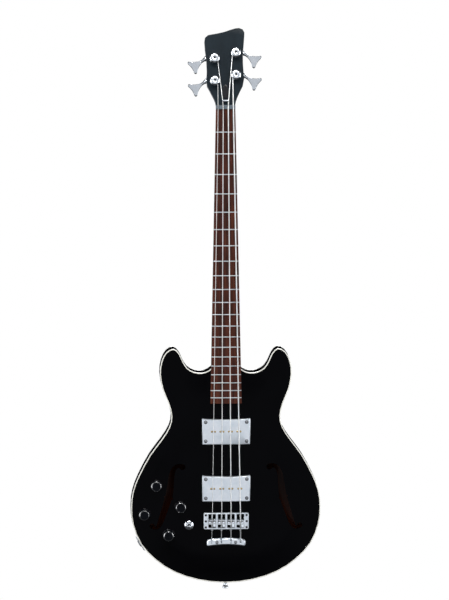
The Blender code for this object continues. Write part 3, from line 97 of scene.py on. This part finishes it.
def surface(
    name,
    dark,
    light,
    roughness,
    spread=0.04,
    metallic=0.0,
    coat=0.0,
    scale=60.0,
    bump=0.02,
    stretch=(1, 1, 1),
    sheen_level=0.5,
):
    """Lacquer, plastic, plating or bare metal: colour and roughness drift a little, with fine relief."""
    material, tree, shader = new_material(name)
    place = add(tree, "TexCoord")
    spot = add(tree, "Mapping", {"Vector": place.outputs["Object"]}, Scale=stretch)
    cloud = add(tree, "TexNoise", {"Vector": spot.outputs["Vector"]}, Scale=scale, Detail=5.0, Roughness=0.6)
    fine = add(tree, "TexNoise", {"Vector": spot.outputs["Vector"]}, Scale=scale * 18, Detail=3.0)
    tone = add(tree, "ValToRGB", {"Fac": cloud.outputs["Fac"]})
    tone.color_ramp.elements[0].position = 0.3
    tone.color_ramp.elements[0].color = linear(dark)
    tone.color_ramp.elements[1].position = 0.7
    tone.color_ramp.elements[1].color = linear(light)
    sheen = add(tree, "MapRange", {"Value": fine.outputs["Fac"]})
    sheen.inputs["To Min"].default_value = max(roughness - spread, 0.02)
    sheen.inputs["To Max"].default_value = roughness + spread
    relief = add(tree, "Bump", {"Height": fine.outputs["Fac"]}, Strength=bump, Distance=0.0002)
    tree.links.new(tone.outputs["Color"], shader.inputs["Base Color"])
    tree.links.new(sheen.outputs["Result"], shader.inputs["Roughness"])
    tree.links.new(relief.outputs["Normal"], shader.inputs["Normal"])
    shader.inputs["Metallic"].default_value = metallic
    shader.inputs["Coat Weight"].default_value = coat
    shader.inputs["Specular IOR Level"].default_value = sheen_level
    shader.inputs["Coat Roughness"].default_value = 0.03
    return material


def timber(name, dark, middle, light, roughness, along=(1.0, 1.0, 0.05), scale=260.0):
    """Wood with streaks and open pores drawn out along Z."""
    material, tree, shader = new_material(name)
    place = add(tree, "TexCoord")
    spot = add(tree, "Mapping", {"Vector": place.outputs["Object"]}, Scale=along)
    way = {"Vector": spot.outputs["Vector"]}
    streak = add(tree, "TexNoise", way, Scale=scale, Detail=8.0, Roughness=0.65)
    broad = add(tree, "TexNoise", way, Scale=scale * 0.12, Detail=3.0)
    blend = add(tree, "MapRange", {"Value": broad.outputs["Fac"]})
    blend.inputs["To Min"].default_value = -0.16
    blend.inputs["To Max"].default_value = 0.16
    total = add(tree, "Math", operation="ADD")
    tree.links.new(streak.outputs["Fac"], total.inputs[0])
    tree.links.new(blend.outputs["Result"], total.inputs[1])
    tone = add(tree, "ValToRGB", {"Fac": total.outputs["Value"]})
    tone.color_ramp.elements[0].position = 0.34
    tone.color_ramp.elements[0].color = linear(dark)
    tone.color_ramp.elements[1].position = 0.68
    tone.color_ramp.elements[1].color = linear(light)
    tone.color_ramp.elements.new(0.5).color = linear(middle)
    relief = add(tree, "Bump", {"Height": streak.outputs["Fac"]}, Strength=0.25, Distance=0.0002)
    tree.links.new(tone.outputs["Color"], shader.inputs["Base Color"])
    tree.links.new(relief.outputs["Normal"], shader.inputs["Normal"])
    shader.inputs["Roughness"].default_value = roughness
    shader.inputs["Specular IOR Level"].default_value = 0.2
    return material


def wound_wire(name, dark, light, pitch=0.0006):
    """Nickel wire wound round a core: ridges across the string, coarser than real ones so that they show."""
    material, tree, shader = new_material(name)
    place = add(tree, "TexCoord")
    bands = add(
        tree,
        "TexWave",
        {"Vector": place.outputs["Object"]},
        wave_type="BANDS",
        bands_direction="Z",
        Scale=1 / pitch / math.pi / 2,
    )
    cloud = add(tree, "TexNoise", {"Vector": place.outputs["Object"]}, Scale=200.0, Detail=3.0)
    tone = add(tree, "ValToRGB", {"Fac": cloud.outputs["Fac"]})
    tone.color_ramp.elements[0].color = linear(dark)
    tone.color_ramp.elements[1].color = linear(light)
    relief = add(tree, "Bump", {"Height": bands.outputs["Fac"]}, Strength=0.5, Distance=0.0002)
    tree.links.new(tone.outputs["Color"], shader.inputs["Base Color"])
    tree.links.new(relief.outputs["Normal"], shader.inputs["Normal"])
    shader.inputs["Metallic"].default_value = 1.0
    shader.inputs["Roughness"].default_value = 0.3
    return material


# Nitrocellulose lacquer, sprayed and polished: near black, with hardly a reflection from the front
BLACK_LACQUER = surface(
    "black lacquer", "#010102", "#020204", 0.10, 0.02, scale=8.0, bump=0.004, sheen_level=0.035
)
# The same lacquer on the rim, which the camera sees edge on, kept from mirroring the bright field
RIM_LACQUER = surface(
    "black lacquer on the rim", "#020203", "#040406", 0.25, 0.04, scale=8.0, bump=0.004, sheen_level=0.0
)
# Black lacquer rubbed to satin, with a dark slate tone and faint blue painted into its colour as sheen
HEAD_LACQUER = surface(
    "satin black lacquer with painted sheen",
    "#10181d",
    "#19232a",
    0.34,
    0.05,
    scale=30.0,
    bump=0.03,
    stretch=(1, 1, 0.2),
    sheen_level=0.10,
)
# Celluloid, scraped and polished: an almost white line round the body
CREAM = surface("cream celluloid binding", "#e9e6da", "#f4f2e8", 0.25, 0.04, coat=0.4, scale=90.0, bump=0.01)
# Oiled rosewood, sanded: red brown with dark streaks along the neck
ROSEWOOD = timber("rosewood", "#240e08", "#3f1b10", "#5c2d1a", 0.55)
# Bare maple and spruce, sawn: a dull light brown inside the body
SPRUCE = timber("unfinished maple and spruce", "#6d3c22", "#8a5431", "#a06a43", 0.7, scale=160.0)
# Chrome plating, polished: a mirror with a slight haze
CHROME = surface(
    "chrome plating", "#dfe4ea", "#f0f4f8", 0.09, 0.03, metallic=1.0, scale=40.0, bump=0.006
)
# Chrome over a brushed ground: an even, bluish white
SATIN_CHROME = surface(
    "brushed chrome plating", "#dfe7ee", "#f2f6fb", 0.32, 0.06, metallic=1.0, scale=60.0, bump=0.03
)
# Zinc-plated steel, as turned: a duller grey than the chrome beside it
STEEL = surface("zinc-plated steel", "#7e8084", "#a4a6aa", 0.34, 0.08, metallic=1.0, scale=80.0, bump=0.05)
# Nickel silver, drawn and filed: thin bluish lines across the board
FRET_WIRE = surface(
    "nickel silver fret wire", "#b4bec3", "#dbe2e5", 0.36, 0.05, metallic=1.0, scale=150.0, bump=0.02
)
# Nickel wire wound on a steel core: bright threads
STRING_WIRE = wound_wire("nickel wound string", "#d8d8d6", "#fafafa")
# Moulded composite: a matt slate bar under the strings
NUT_STUFF = surface("grey composite nut", "#434d55", "#57626b", 0.4, 0.06, scale=300.0, bump=0.05)
# Turned and polished phenolic: black, with bright crescents on its shoulder
KNOB_PLASTIC = surface(
    "polished black knob",
    "#0b0c0f",
    "#14161a",
    0.09,
    0.03,
    coat=1.0,
    scale=120.0,
    bump=0.01,
    sheen_level=1.0,
)
# Moulded acrylic sheet: black with a soft shine
BLACK_PLASTIC = surface(
    "black plastic", "#08080a", "#0f0f12", 0.13, 0.04, coat=0.3, sheen_level=0.35, scale=120.0, bump=0.02
)
# Steel magnets under the cover
POLE = surface("magnet pole", "#8b8d90", "#b5b6b8", 0.3, 0.06, metallic=1.0, scale=200.0, bump=0.05)
# Brass screws, as turned: small warm dots on the covers
POLE_BRASS = surface(
    "brass pole screw", "#a5905f", "#c4ae7c", 0.3, 0.06, metallic=1.0, scale=200.0, bump=0.05
)
# Painted shade: a near-black colour put in the posts' holes, round cover screws and on the bridge's screws,
# where shade falls and no light comes back
PAINTED_SHADE = surface("painted shade in recesses", "#050505", "#0b0b0b", 0.6, 0.1, scale=100.0, bump=0.02)


def shown(name, mesh, material, body, replaces=(), crease=35, bevel=0.0, segments=2):
    """Makes a piece of the scene from a bmesh: smooth but for its creases, riding on a body of the model."""
    bmesh.ops.remove_doubles(mesh, verts=mesh.verts, dist=2e-6)
    bmesh.ops.recalc_face_normals(mesh, faces=mesh.faces)
    data = bpy.data.meshes.new(name)
    mesh.to_mesh(data)
    mesh.free()
    data.shade_smooth()
    data.set_sharp_from_angle(angle=math.radians(crease))
    data.materials.append(material)
    piece = bpy.data.objects.new(name, data)
    scene.collection.objects.link(piece)
    if bevel:
        edges = piece.modifiers.new("soft edges", "BEVEL")
        edges.width = bevel
        edges.segments = segments
        edges.limit_method = "ANGLE"
        edges.angle_limit = math.radians(crease)
        edges.harden_normals = True
    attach(piece, body)
    if replaces:
        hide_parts(*replaces)
    return piece


def dressed(node, material, bevel=0.0, crease=35, segments=2):
    """The model's own solid, welded, smoothed and with soft edges, in place of the bare node."""
    source = frame["nodes"][node]
    mesh = bmesh.new()
    mesh.from_mesh(source.data)
    bmesh.ops.remove_doubles(mesh, verts=mesh.verts, dist=1e-5)
    bmesh.ops.dissolve_limit(mesh, angle_limit=math.radians(0.5), verts=mesh.verts, edges=mesh.edges)
    bmesh.ops.recalc_face_normals(mesh, faces=mesh.faces)
    body = source["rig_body"]
    return shown(f"{node}_finished", mesh, material, body, (node,), crease, bevel, segments)


def turned(profile, place, steps=48, mesh=None):
    """Revolves (radius, height) points about local Z and carries them to place."""
    mesh = mesh or bmesh.new()
    rows = []
    for radius, height in profile:
        if radius < 1e-7:
            rows.append([mesh.verts.new(place @ Vector((0, 0, height)))] * steps)
            continue
        rows.append(
            [
                mesh.verts.new(place @ Vector((radius * math.cos(a), radius * math.sin(a), height)))
                for a in np.arange(steps) * math.tau / steps
            ]
        )
    for low, high in zip(rows, rows[1:]):
        for i in range(steps):
            j = (i + 1) % steps
            corners = []
            for vert in (low[i], low[j], high[j], high[i]):
                if vert not in corners:
                    corners.append(vert)
            mesh.faces.new(corners)
    return mesh


def facing(axis, origin):
    """The matrix that carries local +Z onto axis at origin."""
    return Matrix.Translation(origin) @ Vector(axis).normalized().to_track_quat("Z", "Y").to_matrix().to_4x4()


def seat(node, x, z):
    """The point of a node's front surface at x and z."""
    mesh = frame["nodes"][node].data
    tree = BVHTree.FromPolygons([v.co for v in mesh.vertices], [list(f.vertices) for f in mesh.polygons])
    return tree.ray_cast(Vector((x, -1.0, z)), Vector((0.0, 1.0, 0.0)))[0]


def middle(node):
    """The centre of a node's box."""
    low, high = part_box(node)
    return (low + high) / 2


def post_top(name):
    """The middle of a post's upper face, and the way that face looks."""
    axis = Vector(JOINTS[f"tuner_{name}_post"]["axis"]).normalized()
    if axis.y > 0:
        axis = -axis
    corners = [v.co for v in frame["nodes"][f"tuner_{name}_post"].data.vertices]
    reach = max(c.dot(axis) for c in corners)
    face = [c for c in corners if c.dot(axis) > reach - 0.0002]
    return axis, sum(face, Vector()) / len(face)


JOINTS = {joint["child"]: joint for joint in frame["joints"]}


def shaded_wood_inside(material, dark="#2c120a", light="#4a2214"):
    """Bare maple, in a colour darkened as painted shade inside the body, on the faces that look forward into
    the body; lacquer on the rest.
    """
    tree = material.node_tree
    shader = tree.nodes["Principled BSDF"]
    place = add(tree, "TexCoord")
    parts = add(tree, "SeparateXYZ", {"Vector": place.outputs["Normal"]})
    inner = add(tree, "Math", {0: parts.outputs["Y"]}, operation="LESS_THAN")
    inner.inputs[1].default_value = -0.2
    grain = add(tree, "Mapping", {"Vector": place.outputs["Object"]}, Scale=(1.0, 1.0, 0.08))
    streak = add(tree, "TexNoise", {"Vector": grain.outputs["Vector"]}, Scale=160.0, Detail=6.0)
    shaded_wood = add(tree, "ValToRGB", {"Fac": streak.outputs["Fac"]})
    shaded_wood.color_ramp.elements[0].color = linear(dark)
    shaded_wood.color_ramp.elements[1].color = linear(light)
    both = add(tree, "Mix", data_type="RGBA")
    outer = shader.inputs["Base Color"].links[0].from_socket
    tree.links.new(inner.outputs["Value"], both.inputs[0])
    tree.links.new(outer, both.inputs[6])
    tree.links.new(shaded_wood.outputs["Color"], both.inputs[7])
    tree.links.new(both.outputs[2], shader.inputs["Base Color"])


# Lacquer outside and bare maple inside, its colour darkened to a dark red brown as painted shade inside the
# body, which the sound holes show
BACK_LACQUER = surface(
    "black lacquer on the back", "#010102", "#020204", 0.16, 0.02, scale=8.0, bump=0.004, sheen_level=0.05
)
shaded_wood_inside(BACK_LACQUER)

# The polished shoulder of the knobs throws back more than plain plastic would
KNOB_IOR = 2.2


def dark_top(material, flat=0.95, level=0.0):
    """Takes the sheen off the faces that look straight forward, as on a finely turned knob top."""
    tree = material.node_tree
    shader = tree.nodes["Principled BSDF"]
    place = add(tree, "TexCoord")
    parts = add(tree, "SeparateXYZ", {"Vector": place.outputs["Normal"]})
    top = add(tree, "Math", {0: parts.outputs["Y"]}, operation="LESS_THAN")
    top.inputs[1].default_value = -flat
    sheen = add(tree, "MapRange", {"Value": top.outputs["Value"]})
    sheen.inputs["To Min"].default_value = 1.0
    sheen.inputs["To Max"].default_value = level
    tree.links.new(sheen.outputs["Result"], shader.inputs["Specular IOR Level"])
    tree.links.new(sheen.outputs["Result"], shader.inputs["Coat Weight"])


dark_top(KNOB_PLASTIC)
KNOB_PLASTIC.node_tree.nodes["Principled BSDF"].inputs["IOR"].default_value = KNOB_IOR

# Body: black lacquer inside cream bindings, and bare wood darkened with painted shade where the sound holes
# show it
dressed("body_top", BLACK_LACQUER, crease=40)
dressed("body_back", BACK_LACQUER, crease=40)
dressed("body_rim", RIM_LACQUER, crease=50)
dressed("binding_front", CREAM, bevel=0.0007, crease=50)
dressed("binding_back", CREAM, bevel=0.0007, crease=50)
dressed("centre_block", SPRUCE)

# Neck and head: lacquered black, with a rosewood board, metal frets and a grey nut
dressed("neck", HEAD_LACQUER, bevel=0.0006, crease=40)
dressed("nut", NUT_STUFF, bevel=0.0003)
dressed("truss_rod", STEEL)
dressed("truss_rod_cover", BLACK_PLASTIC, bevel=0.0003)
dressed("string_retainer", CHROME, bevel=0.0003)

SCALE_LENGTH = 0.8636
NUT_DEPTH = -0.0148
NUT_LEVEL = 1.0145
NECK_TILT = math.radians(1.8)
NECK = Matrix.Translation((0.0, NUT_DEPTH, NUT_LEVEL)) @ Matrix.Rotation(-NECK_TILT, 4, "X")
FRET_COUNT = 21
BOARD_RADIUS = 0.305
BOARD_LENGTH = 0.619
BOARD_THICKNESS = 0.006
NUT_HALF = 0.02025
END_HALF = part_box("fingerboard")[1].x
EDGE_ROUND = 0.0006


def board_half(along):
    """Half the board's width at a place along it, from the nut (0) down to its end."""
    return NUT_HALF + (END_HALF - NUT_HALF) * (-along / BOARD_LENGTH)


def crown(x):
    """How far the board's playing surface falls away at x."""
    return x * x / (2 * BOARD_RADIUS)


def board_surface():
    """The rosewood: a long wedge with a crowned top and softened long edges."""
    mesh = bmesh.new()
    rows = []
    for along in np.linspace(-0.0003, -BOARD_LENGTH, 32):
        half = board_half(along)
        across = np.linspace(-half + EDGE_ROUND, half - EDGE_ROUND, 15)
        edge = crown(half) + EDGE_ROUND + 0.0001
        ring = [(-half, edge), *[(x, crown(x)) for x in across], (half, edge)]
        ring += [(half, BOARD_THICKNESS), (-half, BOARD_THICKNESS)]
        rows.append([mesh.verts.new(NECK @ Vector((x, y, along))) for x, y in ring])
    for a, b in zip(rows, rows[1:]):
        for i in range(len(a)):
            j = (i + 1) % len(a)
            mesh.faces.new((a[i], b[i], b[j], a[j]))
    mesh.faces.new(rows[0])
    mesh.faces.new(rows[-1][::-1])
    return mesh


shown("fingerboard_wood", board_surface(), ROSEWOOD, "instrument", ("fingerboard",), crease=30)


def fret(mesh, along, width=0.0022, height=0.00115, sunk=0.0003):
    """One fret: a half-round bar that follows the board's crown, with sloped ends."""
    half = board_half(along) - 0.0002
    rows = []
    for x in np.linspace(-half, half, 17):
        lift = height * min(1.0, (half - abs(x)) / 0.0012 + 0.25)
        row = []
        for a in np.linspace(0, math.pi, 9):
            depth = crown(x) + sunk - (lift + sunk) * math.sin(a)
            row.append(mesh.verts.new(NECK @ Vector((x, depth, along + width / 2 * math.cos(a)))))
        rows.append(row)
    for a, b in zip(rows, rows[1:]):
        for i in range(len(a)):
            j = (i + 1) % len(a)
            mesh.faces.new((a[i], a[j], b[j], b[i]))
    mesh.faces.new(rows[0][::-1])
    mesh.faces.new(rows[-1])


frets = bmesh.new()
for n in range(1, FRET_COUNT + 1):
    fret(frets, -SCALE_LENGTH * (1 - 2 ** (-n / 12)))
shown("frets", frets, FRET_WIRE, "instrument", crease=60)

# Strings, from left to right
STRING_NAMES = "gdae"
for name in STRING_NAMES:
    dressed(f"string_{name}", STRING_WIRE, crease=80)
    dressed(f"string_{name}_winding", STRING_WIRE, crease=80)

# Tuners, with a dark disc in each post's top that paints the shade inside the hole which takes the string's
# end
POST_HOLE_SHADE = [(0.0, -0.0002), (0.0021, -0.0002), (0.0021, 0.00015), (0.0, 0.00015)]
for name in STRING_NAMES:
    dressed(f"tuner_{name}_housing", CHROME, bevel=0.0004, crease=40)
    dressed(f"tuner_{name}_post", CHROME, bevel=0.0003, crease=40)
    dressed(f"tuner_{name}_key", CHROME, bevel=0.0008, crease=30, segments=3)
    # Painted shade: a near-black disc where the post's hole lies
    hole_shade = turned(POST_HOLE_SHADE, facing(*post_top(name)), 28)
    shown(f"post_hole_shade_{name}", hole_shade, PAINTED_SHADE, f"tuner_{name}_post", crease=40)

# Pickups
PICKUPS = ("neck", "bridge")
for name in PICKUPS:
    dressed(f"pickup_cover_{name}", SATIN_CHROME, bevel=0.0006, crease=40, segments=3)
    dressed(f"pickup_coil_{name}", POLE, bevel=0.0002, crease=40)

# Bridge and tailpiece
dressed("bridge_plate", SATIN_CHROME, bevel=0.0004, crease=40)
for name in STRING_NAMES:
    dressed(f"saddle_{name}", CHROME, bevel=0.0003, crease=40)
    dressed(f"saddle_screw_{name}", STEEL, bevel=0.0002, crease=40)
dressed("tailpiece", SATIN_CHROME, bevel=0.0005, crease=40)


def screw(mesh, place, radius, dome, slot=0.22, sunk=0.0006, length=0.8):
    """A domed screw head with a straight slot across it, sunk a little into its seat."""
    profile = [(0.0, -sunk), (radius, -sunk), (radius, dome * 0.3), (radius * 0.86, dome * 0.75)]
    profile += [(radius * 0.5, dome * 0.97), (0.0, dome)]
    turned(profile, place, 28, mesh)
    long_half = radius * length
    half = radius * slot / 2
    corners = [(-long_half, -half), (long_half, -half), (long_half, half), (-long_half, half)]
    bed = [mesh.verts.new(place @ Vector((x, y, dome * 0.5))) for x, y in corners]
    rim = [mesh.verts.new(place @ Vector((x, y, dome + 0.00004))) for x, y in corners]
    for i in range(4):
        j = (i + 1) % 4
        mesh.faces.new((bed[i], bed[j], rim[j], rim[i]))
    mesh.faces.new(bed[::-1])
    mesh.faces.new(rim)


# Screws: at the covers' corners, beside each string, at the bridge's ends and on the tail's studs
FRONT = Vector((0.0, -1.0, 0.0))
COVER_SCREW_INSET = 0.0074
COVER_SCREW_RADIUS = 0.0027
# Painted shade: a dark disc round each cover screw, where its countersink lies in shade
COUNTERSINK_SHADE = [(0.0, -0.0003), (0.0037, -0.0003), (0.0037, 0.00015), (0.0, 0.00015)]
POLE_OFFSET = 0.0034
POLE_RADIUS = 0.0020
NUT_SPREAD = 0.032
SADDLE_SPREAD = 0.059
BRIDGE_SCREW_INSET = Vector((0.0042, 0.0, 0.0045))
BRIDGE_SCREW_RADIUS = 0.0023
STUD_SPREAD = 0.039
STUD_RADIUS = 0.0036

cover_screws = bmesh.new()
countersink_shades = bmesh.new()
for name in PICKUPS:
    low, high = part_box(f"pickup_cover_{name}")
    for x in (low.x + COVER_SCREW_INSET, high.x - COVER_SCREW_INSET):
        for z in (low.z + COVER_SCREW_INSET, high.z - COVER_SCREW_INSET):
            place = facing(FRONT, (x, low.y, z))
            screw(cover_screws, place, COVER_SCREW_RADIUS, 0.0011)
            turned(COUNTERSINK_SHADE, place, 32, countersink_shades)
shown("pickup_screws", cover_screws, STEEL, "instrument", crease=40)
# The dark discs are painted shade round the screws
shown("pickup_countersink_shades", countersink_shades, PAINTED_SHADE, "instrument", crease=40)

pole_screws = bmesh.new()
for name in PICKUPS:
    low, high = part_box(f"pickup_cover_{name}")
    level = (low.z + high.z) / 2
    for string in STRING_NAMES:
        saddle = middle(f"saddle_{string}")
        share = (level - saddle.z) / (NUT_LEVEL - saddle.z)
        x = saddle.x * (1 - share + share * NUT_SPREAD / SADDLE_SPREAD)
        for side in (-1, 1):
            screw(pole_screws, facing(FRONT, (x + side * POLE_OFFSET, low.y, level)), POLE_RADIUS, 0.0006)
shown("pole_screws", pole_screws, POLE_BRASS, "instrument", crease=40)

# Painted shade: the bridge's screws are drawn near black, as the shade in their holes
bridge_screws_shaded = bmesh.new()
low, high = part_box("bridge_plate")
inner_low, inner_high = low + BRIDGE_SCREW_INSET, high - BRIDGE_SCREW_INSET
for x in (inner_low.x, inner_high.x):
    for z in (inner_low.z, (low.z + high.z) / 2, inner_high.z):
        screw(bridge_screws_shaded, facing(FRONT, (x, low.y, z)), BRIDGE_SCREW_RADIUS, 0.0007)
shown("bridge_screws_shaded", bridge_screws_shaded, PAINTED_SHADE, "instrument", crease=40)

tail_screws = bmesh.new()
level = middle("tailpiece").z
for x in (-STUD_SPREAD / 2, STUD_SPREAD / 2):
    screw(tail_screws, facing(FRONT, seat("tailpiece", x, level)), STUD_RADIUS, 0.0008)
shown("tail_screws", tail_screws, STEEL, "instrument", crease=40)

# Controls, jack and strap buttons
for name in ("upper_outer", "lower_outer", "upper_inner", "lower_inner"):
    dressed(f"knob_{name}", KNOB_PLASTIC, bevel=0.0016, crease=30, segments=5)
    dressed(f"pot_{name}", STEEL, crease=40)
dressed("switch_body", CHROME, bevel=0.0003, crease=40)
dressed("switch_lever", CHROME, bevel=0.0002, crease=40)
dressed("jack_plate", CHROME, bevel=0.0003, crease=40)
dressed("jack_socket", STEEL, bevel=0.0003, crease=40)
for name in ("end", "heel"):
    dressed(f"strap_button_{name}", CHROME, bevel=0.0003, crease=40)

# Camera: a very long lens from a little above and a little to the left, as in the photograph
VIEW_ANGLE = math.radians(8.5)
VIEW_TURN = math.radians(2.7)
VIEW_DISTANCE = 36.0
PICTURE_HEIGHT = 1.2538
target = Vector((-0.0018, 0.0, 0.6096))
level_part = math.cos(VIEW_ANGLE)
away = Vector((-math.sin(VIEW_TURN) * level_part, -math.cos(VIEW_TURN) * level_part, math.sin(VIEW_ANGLE)))
camera_data = bpy.data.cameras.new("camera")
camera_data.lens = camera_data.sensor_width * VIEW_DISTANCE / PICTURE_HEIGHT
camera_data.clip_start = 1.0
camera_data.clip_end = 60.0
camera = bpy.data.objects.new("camera", camera_data)
camera.matrix_world = facing(away, target + away * VIEW_DISTANCE)
scene.collection.objects.link(camera)
scene.camera = camera
scene.render.resolution_x = 449
scene.render.resolution_y = 600

# Light: white paper behind, a bright field in front that only the metal mirrors, and large soft sources
world = bpy.data.worlds.new("studio")
world.use_nodes = True
scene.world = world
tree = world.node_tree
tree.nodes.clear()
rays = add(tree, "LightPath")
place = add(tree, "TexCoord")
split = add(tree, "SeparateXYZ", {"Vector": place.outputs["Generated"]})
height = add(tree, "MapRange", {"Value": split.outputs["Z"]})
height.inputs["From Min"].default_value = -1.0
fade = add(tree, "ValToRGB", {"Fac": height.outputs["Result"]})
# Brightness of the field from straight down (0) to straight up (1), with dark bands that give metal its edges
FADE_STOPS = (
    (0.0, 0.08),
    (0.30, 0.10),
    (0.37, 1.5),
    (0.47, 1.5),
    (0.52, 0.9),
    (0.62, 1.05),
    (0.71, 1.0),
    (0.77, 0.04),
    (0.90, 0.06),
    (1.0, 0.4),
)
FIELD_TINT = (0.95, 0.98, 1.03)
stops = fade.color_ramp.elements
for stop, tone in FADE_STOPS:
    if stop == 0.0:
        element = stops[0]
    elif stop == 1.0:
        element = stops[len(stops) - 1]
    else:
        element = stops.new(stop)
    element.color = (*[tone * part for part in FIELD_TINT], 1)
soft = add(tree, "Background", {"Color": fade.outputs["Color"]}, Strength=0.62)
paper = add(tree, "Background", Color=(1, 1, 1, 1), Strength=1.0)
mix = add(tree, "MixShader", {"Fac": rays.outputs["Is Camera Ray"]})
tree.links.new(soft.outputs["Background"], mix.inputs[1])
tree.links.new(paper.outputs["Background"], mix.inputs[2])
add(tree, "OutputWorld", {"Surface": mix.outputs["Shader"]})


def softbox(name, place, aim, width, height, power):
    """A rectangular light at place that looks towards aim."""
    data = bpy.data.lights.new(name, "AREA")
    data.shape = "RECTANGLE"
    data.size = width
    data.size_y = height
    data.energy = power
    light = bpy.data.objects.new(name, data)
    light.matrix_world = facing(Vector(place) - Vector(aim), place)
    scene.collection.objects.link(light)


softbox("top", (0.0, -1.8, 2.8), (0, 0, 0.6), 2.4, 1.2, 34)
softbox("strip", (-0.5, -1.3, 2.6), (0, 0, 0.3), 1.3, 0.16, 26)
softbox("left", (-2.4, -1.2, 0.8), (0, 0, 0.5), 0.4, 2.2, 22)
softbox("right", (2.4, -1.2, 0.8), (0, 0, 0.5), 0.4, 2.2, 26)
softbox("behind", (0.6, 3.0, 1.6), (0, 0, 0.6), 1.6, 1.6, 30)
scene.view_settings.view_transform = "Standard"
